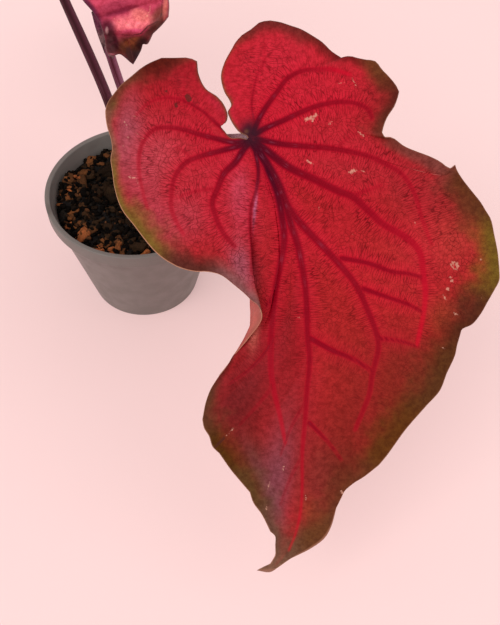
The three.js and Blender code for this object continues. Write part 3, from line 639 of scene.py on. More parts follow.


# The front stalk's pale mauve-grey head, seen in the blade's notch, is a painted highlight.
highlight_headed = stalk_finish("front stalk", (62, 15, 27), (104, 52, 66), (54, 34, 28), (150, 116, 124))
maroon = stalk_finish("maroon stalk", (54, 11, 21), (108, 58, 74), (50, 30, 25), (62, 15, 27))
mauve = stalk_finish("mauve stalk", (72, 17, 31), (146, 88, 112), (80, 46, 46), (90, 36, 54))

# Front leaf's blade: one broad heart-shaped caladium leaf, about 0.35 mm thick, waved at its margin, with a
# raised midrib and ribs below and shallow grooves over them. It grew lop-sided, with a steep fold at its
# left waist and a hooked tip. Drawn flat in millimetres from its stalk joint, tip towards -Y.
BLADE_HALF = 0.17
BLADE_WELD = 5e-4
MARGIN_ROUNDING = 0.3
PUFF = 0.035
PULL = 4
ROWS = 86
RIB_COLUMNS = (0.5, 1.1, 1.8)
EDGE_ROWS = (0.3, 0.08, 0.0)
EDGE_SHARE = 0.004
VEIN_STEP = 1.1
TONE_REACH = 24
NET_TURN = 2.5
CROWN_REACH = 1.15
BAND_START = 0.12
BAND_FADE = 1.15
BAND_STRENGTH = 0.95
BAND_LAYERS = [(0.3, 8.0, 5), (0.22, 3.0, 6), (0.14, 1.2, 7)]
CRINKLE_LAYERS = [(0.1, 5.0, 8), (0.05, 2.2, 9)]
JOINT_STRENGTH = 0.93
SPECULAR_TINT = (1, 0.32, 0.4, 1)


def front_rise(x, y):
    """Arch along the blade, droop to both sides of an axis that leans right, and a droop at the tip."""
    along = (2300 - (y + 48) ** 2) / 560
    axis = 17 * np.clip(-y / 45, 0, 1)
    return along - (x - axis) ** 2 / 520 - 8 * (np.maximum(0, -y - 85) / 43) ** 2


# Veins of the front blade: points, then width and strength at both ends, and the tone at its start, further
# on and at its end, from near-black, 0, over dark crimson to bright crimson, 1
FRONT_VEINS = [
    ([(2, 1), (2, 3), (1, 9), (1.5, 13), (3, 18.5), (4.5, 21), (5, 27)],
     (1.1, 0.5), (0.5, 0.2), (0.2, 0.6)),
    ([(1.6, 1), (2.8, 4.2), (5.2, 8.4), (8.6, 13), (11.5, 16.8), (15.5, 19), (20, 19.5), (25, 19.5),
      (30, 18)], (2.1, 1.2), (1, 0.55), (0.1, 0.5, 0.95)),
    ([(2.2, 0.6), (5, 2.2), (10.5, 4.6), (16, 7.2), (21, 9), (27, 10), (32, 9.5), (35.5, 7.5), (36.5, 5)],
     (2.2, 1.3), (1, 0.6), (0.1, 0.5)),
    ([(2.5, -1), (6, -1.7), (10.5, -2.5), (16, -3), (23, -3.5), (29.5, -4.5), (35.5, -6), (41, -8.5),
      (45, -11), (48.5, -16), (51, -24), (54, -32)], (2.3, 0.9), (1, 0.3), (0.1, 0.45, 0.75)),
    ([(26, -3.5), (29, -1), (32, 1)], (0.9, 0.5), (0.5, 0.3), (0.6, 0.6)),
    ([(2.5, -2), (6, -4.8), (12.3, -9.4), (19.8, -12.9), (26.8, -16.4), (30.8, -17.9), (35.2, -21.9),
      (39.6, -25.9), (42.2, -27.4), (45.7, -29.4), (49.2, -32.3), (50.7, -34.8), (51.2, -37.2),
      (51.7, -41.6), (52.2, -45.5), (51.7, -52), (49.7, -61.5)], (3, 1.3), (1, 0.5), (0.05, 0.4, 0.95)),
    ([(31, -17.5), (35, -16), (39, -14.5)], (1.1, 0.7), (0.8, 0.5), (0.6, 0.7)),
    ([(2.5, -3), (4, -5.5), (8.8, -13.9), (12, -21.4), (17, -27.4), (22.4, -33), (27.9, -39), (31.8, -44),
      (34.8, -50.3), (37.8, -58.2), (38.4, -62), (37.5, -66.5), (36.6, -70), (35.7, -76), (33.8, -81),
      (31.5, -86.5)], (3, 1.2), (1, 0.5), (0, 0.3, 0.6)),
    ([(27.5, -36), (35.5, -37.5), (42.5, -40), (47, -40.5), (51, -41.5)],
     (1.7, 1.2), (1, 0.75), (0.45, 0.5)),
    ([(34, -45), (41, -47.5), (48, -50), (51.5, -52)], (1.6, 1.1), (1, 0.7), (0.45, 0.5)),
    ([(38.5, -59.5), (45, -60.5), (50, -62)], (1.4, 0.9), (0.9, 0.5), (0.4, 0.4)),
    ([(1.5, -2.5), (5.2, -8), (8.6, -14.5), (11.5, -21.5), (12.6, -26), (14.6, -32), (16, -39), (17, -46),
      (17.5, -58), (18.1, -66.5), (17.2, -76), (16.8, -83.5), (15.9, -93.5), (15.9, -102.5), (15.5, -110),
      (14, -117), (12, -122)], (3, 0.5), (1, 0.45), (0, 0.25, 0.85)),
    ([(18.2, -59.6), (24.7, -63.1), (30.7, -65.6), (36, -68.8)], (1.9, 1.3), (0.95, 0.7), (0.4, 0.4)),
    ([(18, -84.5), (22, -88.5), (25, -92), (27.5, -95.5)], (1.3, 0.8), (0.9, 0.4), (0.4, 0.4)),
    ([(17.5, -77.5), (13, -85), (9.5, -94)], (0.8, 0.4), (0.45, 0.2), (0.4, 0.4)),
    ([(16, -94), (12.5, -100.5), (9.5, -108.5)], (0.7, 0.4), (0.35, 0.1), (0.4, 0.4)),
    ([(5.8, -9.5), (8.6, -16.5), (10.1, -24.5), (10.6, -30.5), (9.6, -37.5), (8.2, -44.5), (7.1, -54.5),
      (6.7, -62), (6.8, -69.5), (7.8, -76), (9.3, -82), (11, -90.5)], (2.8, 1.1), (1, 0.4), (0, 0.3, 0.8)),
    ([(8, -46.5), (6, -49), (4.5, -51)], (1.1, 0.7), (0.8, 0.6), (0.3, 0.3)),
    ([(7.5, -60), (4, -65), (-0.5, -69.5), (-5.5, -73)], (1, 0.5), (0.5, 0.2), (0.3, 0.3)),
    ([(7.5, -73.5), (3, -79), (-2.5, -85)], (0.9, 0.5), (0.4, 0.15), (0.3, 0.3)),
    ([(1.5, -2.5), (3, -9.5), (2.5, -15.5), (1, -20.5), (0.5, -26), (1, -33.5), (1, -40.5)],
     (1.6, 0.7), (0.9, 0.4), (0, 0.4)),
    ([(0.5, -2), (-1, -3.5), (-3.5, -7.5), (-7, -11), (-9, -15.5), (-10.5, -19.5), (-9.5, -24), (-7, -29),
      (-4, -32.5)], (2.5, 1.4), (1, 0.5), (0.05, 0.5)),
    ([(0.5, -2), (-3, -3), (-8.5, -4.5), (-14, -6), (-18.5, -8), (-21.5, -12), (-22.5, -16.5),
      (-22.5, -21.5), (-21, -25.5), (-19, -29)], (2.3, 0.9), (1, 0.35), (0.05, 0.5, 0.7)),
    ([(-10.5, -15.5), (-16.5, -16.5), (-21.5, -18.5)], (0.9, 0.6), (0.5, 0.35), (0.6, 0.6)),
    ([(-16.5, -7), (-19, -4.5), (-21, -3.5)], (0.8, 0.5), (0.5, 0.25), (0.6, 0.6)),
    ([(0.5, -1.5), (-3.5, -2), (-8.5, -1), (-14.5, 0.5), (-19.5, 2), (-24, 2.5), (-27.5, 2), (-30.5, -1),
      (-32, -5.5), (-32, -11), (-31, -16.5), (-29.5, -21.5)], (2.2, 0.7), (1, 0.25), (0.05, 0.5, 0.7)),
    ([(0.5, -1), (-4.5, 0), (-8.5, 3), (-13, 7), (-17, 9.5), (-21, 11), (-25.5, 11), (-29.5, 9.5), (-33, 6)],
     (1.6, 0.6), (0.85, 0.35), (0.1, 0.6)),
    ([(-18.5, 10.5), (-19, 14), (-18.5, 18)], (0.7, 0.4), (0.4, 0.2), (0.6, 0.6)),
]

# Soft tints of the front blade's tissue: centre, half width and half height of the oval, its turn in
# degrees, strength, colour. Some are painted light: the grey-purple and pale pink patches on the left lobe,
# by the waist's fold and left of the midrib near the tip are painted sheen, and a thin lilac stroke beside a
# vein below the joint is a painted highlight. The darker browns and reds over the lower part are partly the
# leaf's own colour and partly painted shade.
FRONT_TINTS = [
    ((8, 8), (24, 18), 0, 0.7, (202, 28, 50)), ((-14, 8), (16, 14), 0, 0.55, (172, 28, 44)),
    ((-20, -10), (16, 14), 0, 0.6, (190, 46, 60)), ((-6, -20), (12, 14), 0, 0.6, (190, 42, 60)),
    ((-22, 19), (14, 5), 10, 0.6, (140, 22, 32)), ((-9, 13), (3, 9), 25, 0.5, (164, 42, 64)),
    # Painted sheen: the two tints here and the first on the next line, grey-purple on the left lobe.
    ((-35, -1), (4.5, 13), 0, 0.75, (150, 82, 96)), ((-31, -14), (6, 14), 10, 0.6, (166, 64, 78)),
    ((-26, -27), (8, 8), -40, 0.5, (158, 60, 72)), ((-28, -5), (8, 9), 0, 0.6, (190, 72, 84)),
    ((-20, -24), (8, 7), 0, 0.5, (180, 66, 80)), ((9, 23), (10, 7), 0, 0.5, (206, 42, 62)),
    # Painted sheen: the second tint here, pale pink above the waist's fold. On the next line the grey-purple
    # patch is painted sheen and the lilac stroke a painted highlight.
    ((56, -53), (7, 6), 0, 0.7, (134, 62, 32)), ((-2, -18), (3.5, 11), 8, 0.75, (192, 68, 90)),
    ((-1.8, -38), (3.6, 8), 14, 0.85, (152, 84, 100)), ((2, -20.5), (0.55, 6), -6, 0.8, (180, 128, 168)),
    ((7, 20), (14, 16), 0, 0.5, (198, 38, 56)), ((26, 14), (14, 10), 20, 0.5, (198, 36, 54)),
    ((40, 10), (7, 8), 0, 0.5, (138, 32, 32)), ((28, -6), (20, 9), -10, 0.6, (188, 44, 56)),
    ((50, -16), (12, 8), -35, 0.6, (158, 42, 46)), ((52, -32), (9, 9), 0, 0.6, (194, 50, 56)),
    ((61, -30), (7, 8), 0, 0.55, (178, 60, 50)), ((44, -42), (14, 16), 20, 0.5, (184, 46, 46)),
    ((24, -30), (12, 12), -30, 0.6, (186, 32, 44)), ((30, -50), (14, 16), 0, 0.6, (172, 36, 36)),
    # Partly the leaf's own colour, partly painted shade: the dark browns and reds on this line and the next
    # four.
    ((34, -68), (14, 13), 0, 0.75, (144, 36, 30)), ((44, -72), (10, 16), -25, 0.8, (122, 38, 26)),
    ((30, -86), (11, 12), 0, 0.8, (126, 36, 28)), ((27, -99), (9, 9), 0, 0.85, (92, 38, 22)),
    ((13, -56), (6, 20), 0, 0.65, (146, 22, 30)), ((4, -66), (9, 14), -20, 0.8, (126, 27, 31)),
    ((-3, -80), (10, 13), -10, 0.9, (104, 28, 28)), ((2, -95), (6, 9), 30, 0.8, (88, 44, 36)),
    # Painted sheen: the mauve-grey oval left of the midrib near the tip, second here, and the first on the
    # next line.
    ((13, -86), (7, 16), 0, 0.75, (136, 36, 40)), ((8.2, -103), (5, 17), -8, 0.9, (122, 66, 76)),
    ((5.5, -104), (2, 12), 24, 0.5, (118, 72, 78)), ((19, -104), (6, 14), -8, 0.75, (124, 46, 40)),
    ((18, -110), (2.4, 4), 0, 0.5, (146, 62, 34)), ((14, -121), (7, 5), 20, 0.7, (114, 58, 42)),
    ((1.8, -55), (1.6, 7), -4, 1, (202, 104, 92)), ((-40.4, 9.4), (1.5, 2.4), -30, 0.9, (84, 112, 38)),
    ((7, -13), (3.4, 9), 22, 0.8, (138, 6, 30)), ((11.5, -26), (4, 9), 12, 0.5, (160, 10, 34)),
    ((0.7, 0.2), (4.2, 4.2), 0, 0.95, (54, 20, 36)), ((-0.3, 1.2), (0.7, 0.6), 0, 1, (190, 130, 80)),
]

# Band along the front blade's margin: places round it, each with the band's width and colour there, and how
# pale the thin rim is
FRONT_BAND = [
    ((-25.6, 23), 5.5, (76, 22, 8), 0.1), ((-39.7, 12.1), 3, (98, 54, 34), 0.4),
    ((-41.8, 3.2), 2.6, (124, 84, 66), 0.9), ((-39.2, -15.9), 2.8, (106, 94, 36), 1),
    ((-31.8, -29.1), 4.6, (110, 92, 34), 1), ((-17.1, -39.7), 8.5, (74, 38, 28), 0.9),
    ((-2.4, -45.3), 8, (124, 82, 82), 0.8), ((-14.7, 18), 0.9, (128, 46, 38), 0.2),
    ((-7.7, 15), 1.4, (140, 62, 38), 0.5), ((-3.5, 4), 0.7, (140, 80, 54), 0.5),
    ((-8, 3.5), 0.8, (92, 30, 28), 0.1), ((6.5, 34.2), 4.6, (108, 38, 34), 0.1),
    ((28.6, 23), 4.4, (106, 26, 24), 0.1), ((38.8, 20.6), 6, (96, 58, 26), 0.3),
    ((43, 15.6), 6.5, (90, 44, 22), 0.3), ((44.2, 12), 6.5, (84, 30, 20), 0.3),
    ((53.6, -6.2), 9, (116, 62, 54), 0.4), ((65.4, -15.9), 12, (84, 50, 22), 0.3),
    ((73.3, -35), 8, (104, 88, 22), 0.6), ((65.4, -55.9), 12, (70, 38, 18), 0.3),
    ((59.5, -68.9), 12, (76, 50, 20), 0.4), ((43.3, -91), 10.5, (84, 52, 14), 0.4),
    ((28.6, -104.8), 8, (94, 50, 28), 0.5), ((21.8, -119), 9, (92, 58, 26), 0.5),
    ((-5.3, -66.5), 5.5, (92, 28, 24), 0.6), ((0, -60.5), 1.6, (110, 88, 66), 0.8),
    ((-13.2, -80.7), 6, (76, 52, 28), 0.5), ((-7.7, -93.9), 8, (68, 48, 4), 0.3),
    ((-0.9, -103.6), 7.5, (78, 60, 28), 0.5), ((7.1, -116.9), 5.5, (94, 70, 54), 0.5),
    ((4, -127.8), 4, (118, 92, 72), 0.4),
]

# Pale scars and dark specks of the front blade: both ends of a stroke and its half width
FRONT_SCARS = [
    ((-33.4, 1.6), (-30.8, -0.9), 0.08), ((-35.9, 0.3), (-34.1, -1.5), 0.1),
    ((-28.1, -4.4), (-26.6, -5.4), 0.08), ((-36.6, 4.4), (-35, 2.2), 0.08),
    ((-34.9, 6.2), (-32.9, 5.6), 0.06), ((-37.3, -2.2), (-35.6, -5), 0.08),
    ((-34.9, -12.1), (-33.3, -12.4), 0.26), ((-33.2, -12.5), (-31.6, -15), 0.07),
    ((16.9, 4.7), (20, 5.9), 0.4), ((18.9, 4.4), (19.9, 6.4), 0.3), ((23.6, 3.2), (24.6, 4.2), 0.16),
    ((17.4, -7.4), (18.8, -8.2), 0.24), ((30, -10.8), (31.4, -10.2), 0.55),
    ((33.6, -10.3), (34.4, -10.6), 0.22), ((32.6, 1.2), (34, -0.2), 0.22),
    ((26.2, 14.8), (28.4, 16.2), 0.14), ((30.4, 17.2), (32.2, 14.2), 0.16),
    ((20.6, -21.3), (20.6, -21.9), 0.16), ((48.9, -25.6), (48.7, -26.4), 0.28),
    ((30.6, -29), (30.8, -29), 0.14), ((60, -37.3), (61.7, -37.9), 0.4), ((61.8, -38), (61.2, -39.5), 0.34),
    ((59.8, -37.8), (60.3, -39.3), 0.26), ((59.6, -41.8), (60.1, -43), 0.36),
    ((58.6, -45), (58.9, -45.4), 0.4), ((57.4, -46.8), (58.4, -48.6), 0.18),
    ((68.8, -47.6), (69.4, -47.8), 0.2), ((60.4, -52.2), (61.6, -52.6), 0.26),
    ((68.3, -36.2), (68.5, -36.5), 0.16), ((57.3, -62.4), (57.8, -62.7), 0.2),
    ((14.4, -53.2), (15.4, -53.9), 0.14), ((16.9, -106), (17, -107), 0.14),
    ((5.5, -109), (5.4, -109.9), 0.16), ((6.4, -102), (5.8, -104), 0.1), ((10.6, -97), (10.3, -98.6), 0.1),
    ((27.4, -104.6), (28.8, -106), 0.4), ((-6.8, -88.6), (-4.1, -85.8), 0.1),
]
FRONT_SPECKS = [
    ((-24, 13.2), (-24.2, 12.8), 0.35), ((-17.8, 11.6), (-17.4, 10.8), 0.8),
    ((-21.3, 9.3), (-21.1, 8.6), 0.45), ((-26.5, 9.5), (-26.6, 9.4), 0.3),
    ((-10, -91.8), (-7, -88.8), 0.35), ((24, -100), (24.3, -100.2), 0.3),
]

FRONT_BLADE = {
    "joint": (42.6, -42.7, 119.5),
    "heading": 0,
    "lean": 36.7,
    "roll": 2.1,
    "eye": (0.6, -52, 265),
    "ripple": (0.7, 7),
    "pace": {0.375: 1.5, 0.5: 1.5},
    "relief": (0.3, 0.7),
    "dark_joint": ((0.8, 0.6), (3.0, 3.7)),
    "column_step": 1.3,
    "fine_spans": {(0, 0.375): 0.85},
    "rise": front_rise,
    "base": (172, 33, 38),
    "tint_power": 1.25,
    "tints": FRONT_TINTS,
    "band": FRONT_BAND,
    "veins": FRONT_VEINS,
    "scars": FRONT_SCARS,
    "specks": FRONT_SPECKS,
    "midrib": [
        (0, -1), (1.5, -3), (4.5, -7), (7, -11), (9.5, -16), (13, -26.5), (15.5, -36), (17, -45.5),
        (18.5, -60), (18, -72), (17.5, -84.5), (16, -97), (15, -110), (13, -117.5), (11, -123), (8, -126.5),
        (2.5, -128),
    ],
    # Each sector: where its first rib starts along the midrib, that rib, and the margin up to the next rib
    "left": [
        (0, [(-2.5, -0.5), (-5, -0.5), (-7, 1.5), (-8, 3), (-6.5, 4), (-6, 6), (-7, 9), (-9, 11.5),
             (-12.5, 14), (-14.5, 18), (-15, 22)],
         [(-17.5, 23), (-21.5, 23)]),
        (0, [(-3.5, -3), (-8.5, -1), (-13, 4.5), (-17, 9.5), (-22, 16), (-25.5, 23)],
         [(-29, 21.5), (-31.5, 20), (-34.5, 17.5), (-37.5, 15), (-39.5, 12.5), (-41, 10.5, -1),
          (-42, 8, -1.5)]),
        (0, [(-4, -4), (-10, -2.5), (-15.5, -0.5), (-20, 1), (-25, 2.5), (-32, 4.5), (-42, 5.5, -2)],
         [(-41.5, 2.5, -2), (-40.5, -0.5, -2), (-40, -4, -2.5), (-40.5, -6.5, -3), (-40, -10.5, -3)]),
        (0, [(-4, -5), (-9.5, -6), (-15.5, -7.5), (-20, -9.5), (-27.5, -12), (-33.5, -13.5),
             (-39.5, -14.5, -3)],
         [(-38.5, -18.5, -3), (-37, -22, -3), (-33.5, -26.5, -2.5), (-30.5, -30.5, -2), (-27.5, -34, -1),
          (-24.5, -36.5, -0.5)]),
        (0, [(-3.5, -7.5), (-7, -11), (-9.5, -16), (-11.5, -22), (-15, -29), (-18.5, -34), (-21, -38.5)],
         [(-18, -39.5, 0.5), (-15, -40, 1), (-12, -40, 2), (-8, -41, 3), (-4, -44, 4), (-1, -46.5, 5),
          (1, -48.5, 5.5), (3, -50, 6)]),
        # Crest of the fold at the waist, then the bottom of the fold, hidden behind it
        (0, [(1.1, -4.5), (2.3, -8.5, 0.1), (2.5, -15.5, 0.3), (1, -21, 0.8), (0.5, -27.5, 1.9),
             (1, -35, 3.6), (1.5, -42.5, 5.2), (3, -48.5, 6), (4, -52.5, 6)],
         [(4, -54, 5.4), (3, -56, 4.4), (1, -58.5, 3), (-1, -61, 1.4)]),
        (0, [(1.7, -4.8), (3.4, -9.5), (3.8, -16, 0), (2.5, -21.5, -0.1), (1.5, -27.5, -0.4),
             (0.8, -35, -1), (0.5, -42.5, -1.6), (0.5, -49, -2), (0.5, -56.5, -2), (-1.5, -60.5, -1.3),
             (-4.5, -65, 0)],
         [(-6.5, -68, 0)]),
        (0, [(2.2, -4.8), (3.1, -7), (4.2, -9.5), (5.2, -12), (7.3, -18.5), (8.6, -25.5), (9.2, -32),
             (9, -38, -0.2), (8, -45, -0.4), (6.4, -52, -0.5), (3, -59, -0.3), (-2, -65, 0),
             (-8.5, -70.5, 0.5)],
         [(-11, -74.5, 1.2), (-12.5, -78.5, 2)]),
        (0.375, [(12.5, -48), (6.5, -61), (-2.5, -73), (-13.5, -83.5, 2.4)],
         [(-13, -86, 2.4), (-11.5, -88.5, 2), (-10.5, -91.5, 1.6)]),
        (0.5, [(15, -70), (8, -81.5), (-0.5, -90), (-8.5, -93.5, 1)],
         [(-5, -98.5, 0), (-2.5, -101.5, -0.8)]),
        (0.625, [(13.5, -91), (7, -98.5), (0.5, -105, -1.2)], [(1.5, -108, -1), (4, -111.5, -0.6)]),
        (0.75, [(11, -112.5), (6.5, -116.5)], [(8, -118), (8, -120.5)]),
        (0.875, [(9.5, -122.8), (8, -122)], [(8, -123.5)]),
        (0.9375, [(7.2, -126.2), (6.5, -126)], [(4.6, -126.9)]),
    ],
    "right": [
        (0, [(-0.5, 0), (-2.5, 1), (-4.5, 3.5), (-5.5, 5.5), (-6, 7), (-5, 9), (-5.5, 10.5), (-7, 13),
             (-8, 17.5), (-7, 21.5), (-4, 27)],
         [(-2, 29.5), (1, 31.5), (3.5, 33.5)]),
        (0, [(2, 4), (1.5, 9.5), (2, 14), (3, 19.5), (4.5, 25.5), (6.5, 34)],
         [(9.5, 33.5), (12.5, 32.5), (15.5, 31.5), (19, 29.5), (22, 27.5), (24.5, 25)]),
        (0, [(3, 3.8), (5.5, 8.5), (9, 14), (13, 17.5), (17.5, 19.5), (22.5, 21), (27.5, 23)],
         [(30, 23.5, 0.6), (32, 23, 1), (34.5, 22.5, 1), (37.5, 22), (39.5, 19.5, -1), (41, 18, -1.5),
          (43.5, 15, -2)]),
        (0, [(4.5, 2.5), (10.5, 4.5), (16, 7), (22, 9), (28.5, 10.5), (36, 11.5), (44.5, 13, -2)],
         [(44, 11, -1.6), (43, 8.5, -0.6), (41, 5.5, 0.8), (40, 3, 1.6)]),
        (0, [(5, 0.6), (8, 1), (15.5, 1.5), (24, 2.5), (32, 2), (39.5, 1, 2)],
         [(40.5, -0.5, 2), (42.5, -0.5, 1.6), (46, -3, 1), (49.5, -4.5, 0.6), (53.5, -6, 0.6),
          (56.5, -7.5, 1), (59.5, -9.5, 1.6)]),
        (0, [(5.5, -0.8), (10.5, -2), (16, -3), (23, -3.5), (29.5, -4.5), (36.5, -6.5), (45, -8.8),
             (53, -10.8), (58.6, -11.2), (61, -8.5, 2)],
         [(61.5, -10, 1.6), (63, -12.5, 0.8), (64.5, -14.5, 0), (66.5, -17, -0.8), (68.5, -19.5, -1.4),
          (70, -22, -2), (71.5, -24.5, -2.4), (72.5, -29, -2.8), (73.5, -34, -3)]),
        (0, [(6, -4.5), (12.5, -9), (20, -12.5), (27, -16), (33, -19.5), (40, -24.5), (47, -30),
             (56.5, -34.5), (65.5, -37.5), (74, -39, -3)],
         [(74, -42.5, -2.6), (72.5, -45.5, -2), (70.5, -49, -1), (68.5, -52.5), (66, -55.5, 0.8),
          (63, -57, 1.2), (62.5, -58.5, 1), (61.5, -62), (61, -64.5, -0.8)]),
        (0.375, [(24, -42), (34, -50), (44, -58), (52, -65), (58.5, -70, -1.6)],
         [(56.5, -75, -1.6), (52.5, -79.5, -1)]),
        (0.5, [(26, -64), (34, -71), (41, -78.5), (48.5, -84, -0.4)],
         [(46, -87), (43.5, -90.5), (41, -94, 0.6)]),
        (0.625, [(22.5, -87), (28.5, -91), (34, -95), (38.5, -97, 1)],
         [(34, -100.5, 1), (31.5, -102, 0.6), (29.5, -103.5), (28.5, -104.5), (27.5, -106.5)]),
        (0.75, [(19, -110.5), (23, -110.5), (26, -109.5, -0.6)],
         [(24.5, -115, -1), (22.5, -118.5, -0.6), (18.5, -121.5)]),
        (0.875, [(11.8, -123.8), (12.5, -124.5)], []),
        (0.9375, [(8.3, -126.9), (8.7, -127.2)], [(6.5, -128.5)]),
    ],
}


def paced(curve, pace):
    """The curve with its share raised to this power, so that its rows start closer together."""
    return lambda share: curve(share**pace)


def leaf_panels(blade):
    """The midrib and a blade's panels, each between two ribs, the midrib and the margin. A rib has its length
    and its pace, and panels that start from the same span of the midrib have as many columns."""
    midrib = spline(blade["midrib"])
    pace = blade.get("pace", {})
    tip = midrib(np.array(1.0))
    panels = []
    for sectors, turned_over in ((blade["left"], False), (blade["right"], True)):
        roots = [root for root, _, _ in sectors] + [1]
        ribs = []
        for root, rib, _ in sectors:
            curve, length = evenly(spline([midrib(np.array(root)), *rib]))
            ribs.append((paced(curve, pace.get(root, 1)), length, pace.get(root, 1)))
        ribs.append((lambda share: np.broadcast_to(tip, (*np.shape(share), 3)), 0.0, 1))
        ends = [rib[-1] for _, rib, _ in sectors] + [tuple(tip)]
        for i, (_, _, edge) in enumerate(sectors):
            margin, margin_length = evenly(spline([ends[i], *edge, ends[i + 1]]))
            span = (roots[i], roots[i + 1])
            root_length = np.linalg.norm(np.diff(midrib(np.linspace(*span, 20)), axis=0), axis=1).sum()
            panels.append(
                {
                    "ribs": ribs[i : i + 2],
                    "margin": margin,
                    "span": span,
                    "reach": max(margin_length, root_length),
                    "ripple_from": i / len(sectors),
                    "ripple_share": 1 / len(sectors),
                    "free": i == 0,
                    "over": turned_over,
                }
            )
    for panel in panels:
        if panel["span"][0] != panel["span"][1]:
            panel["reach"] = max(other["reach"] for other in panels if other["span"] == panel["span"])
    return midrib, panels


def panel_grid(blade, midrib, panel):
    """Flat places, heights and distances from the margin, on one panel's grid. A place is the Coons patch of
    its panel: the blend of both ribs plus the blend of root and margin, less the blend of the four corners.
    Columns crowd up to the ribs, and the last rows to the margin, where the blade's edge is rounded."""
    (first, first_length, first_pace), (last, last_length, last_pace) = panel["ribs"]
    low, high = panel["span"]
    rows = np.linspace(0, 1, ROWS + 1)
    width = np.maximum(np.linalg.norm(first(rows) - last(rows), axis=1), 0.01)[:, None]
    column_step = blade.get("fine_spans", {}).get(panel["span"], blade["column_step"])
    inner = max(3, round(panel["reach"] / column_step) - 4)
    count = inner + 2 * len(RIB_COLUMNS)
    foot = np.minimum(np.array((0, *RIB_COLUMNS)) / width, np.arange(len(RIB_COLUMNS) + 1) / count)
    middle = foot[:, -1:] + (1 - 2 * foot[:, -1:]) * np.linspace(0, 1, inner + 1)[1:-1]
    u = np.concatenate([foot, middle, 1 - foot[:, ::-1]], axis=1)
    u = np.concatenate([u[:-2], np.repeat(u[-1:], len(EDGE_ROWS), axis=0)])
    length = np.maximum(first_length + (last_length - first_length) * u, 1e-3)
    inset = np.concatenate([np.zeros(ROWS - 1), EDGE_ROWS])[:, None]
    t = np.concatenate([rows[:-2], np.ones(len(EDGE_ROWS))])[:, None] * np.ones_like(u)
    t = t - np.minimum(inset / length, EDGE_SHARE * inset / EDGE_ROWS[0])
    a, b = first(t), last(t)
    corner = [curve(np.array([end]))[0] for end in (0.0, 1.0) for curve in (first, last)]
    u3, t3 = u[..., None], t[..., None]
    from_root = midrib(low + (high - low) * u) - (1 - u3) * corner[0] - u3 * corner[1]
    from_edge = panel["margin"](u) - (1 - u3) * corner[2] - u3 * corner[3]
    place = (1 - u3) * a + u3 * b + (1 - t3) ** PULL * from_root + t3**PULL * from_edge
    gap = np.linalg.norm(a - b, axis=-1)
    height, waves = blade["ripple"]
    ripple = height * t**3 * np.sin(2 * np.pi * waves * (panel["ripple_from"] + u * panel["ripple_share"]))
    puff = PUFF * gap * 4 * u * (1 - u) * np.sin(np.pi * t)
    rise = place[..., 2] + ripple + puff + blade["rise"](place[..., 0], place[..., 1])
    from_margin = (1 - t ** (first_pace + (last_pace - first_pace) * u)) * length
    if panel["free"]:
        from_margin = np.minimum(from_margin, u * gap)
    return place[..., :2], rise, from_margin


def middle_surface(blade):
    """A blade's middle surface in its own frame: places, the same places in the flat drawing, distances from
    the margin and triangles. A height moves a place along its line to the blade's eye, if it has one."""
    midrib, panels = leaf_panels(blade)
    drawn, faces, start = [], [], 0
    for panel in panels:
        flat, rise, from_margin = panel_grid(blade, midrib, panel)
        index = start + np.arange(rise.size).reshape(rise.shape)
        start += rise.size
        a, b, c, d = index[:-1, :-1], index[1:, :-1], index[1:, 1:], index[:-1, 1:]
        faces.append(np.stack([a, d, c, b] if panel["over"] else [a, b, c, d], axis=-1).reshape(-1, 4))
        drawn.append(np.dstack([flat, rise, from_margin]).reshape(-1, 4))
    drawn = np.concatenate(drawn)
    lift = drawn[:, 2:3]
    places = np.pad(drawn[:, :2], ((0, 0), (0, 1)))
    if "eye" in blade:
        eye = np.array(blade["eye"])
        places = places + (eye - places) * lift / eye[2]
    else:
        places[:, 2:] = lift
    places, quads, first, where = welded(places, np.concatenate(faces), BLADE_WELD)
    from_margin = np.zeros(len(first))
    np.maximum.at(from_margin, where, drawn[:, 3])
    return places, drawn[first, :2], from_margin, halves(quads)


def vein_field(flat, veins):
    """For each flat place: distance past the nearest vein's edge, that vein's strength and tone there, the
    net's run (away from the vein, along it) and how evenly the place lies between two veins."""
    count = len(flat)
    nearest = np.full((2, count), 1e6)
    field = np.zeros((6, count))
    for points, widths, strengths, tones in veins:
        path, length = evenly(spline(points))
        share = np.linspace(0, 1, max(4, int(length / VEIN_STEP)) + 1)
        line = path(share)[:, :2]
        start, step = line[:-1], np.diff(line, axis=0)
        offset = flat[:, None] - start[None]
        along = np.clip((offset * step).sum(-1) / (step**2).sum(-1), 0, 1)
        away = np.linalg.norm(offset - along[..., None] * step, axis=-1)
        best = away.argmin(axis=1)
        rows = np.arange(count)
        away = away[rows, best]
        place = (best + along[rows, best]) / (len(share) - 1)
        half = (widths[0] + (widths[1] - widths[0]) * place) / 2
        strength = strengths[0] + (strengths[1] - strengths[0]) * place
        edge = away - half
        closer = edge < nearest[0]
        nearest[1] = np.where(closer, nearest[0], np.minimum(nearest[1], edge))
        nearest[0] = np.where(closer, edge, nearest[0])
        tone_places = (0, TONE_REACH, max(length, TONE_REACH + 1))
        tone = np.interp(place * length, tone_places, (*tones[:2], tones[-1]))
        from_start = place * length + np.hypot(*points[0][:2])
        from_end = np.minimum(place, 1 - place) * length
        turning = 0.5 * np.clip(1 - from_end / NET_TURN, 0, 1)
        field = np.where(closer, np.stack([strength, tone, away, from_start, half, turning]), field)
    edge, second = np.maximum(nearest, -1)
    between = np.maximum((edge + 1) / np.maximum(edge + second + 2, 1e-6), field[5])
    named = dict(zip(("strength", "tone", "away", "along", "half"), field))
    return {"edge": edge, "between": between, **named}


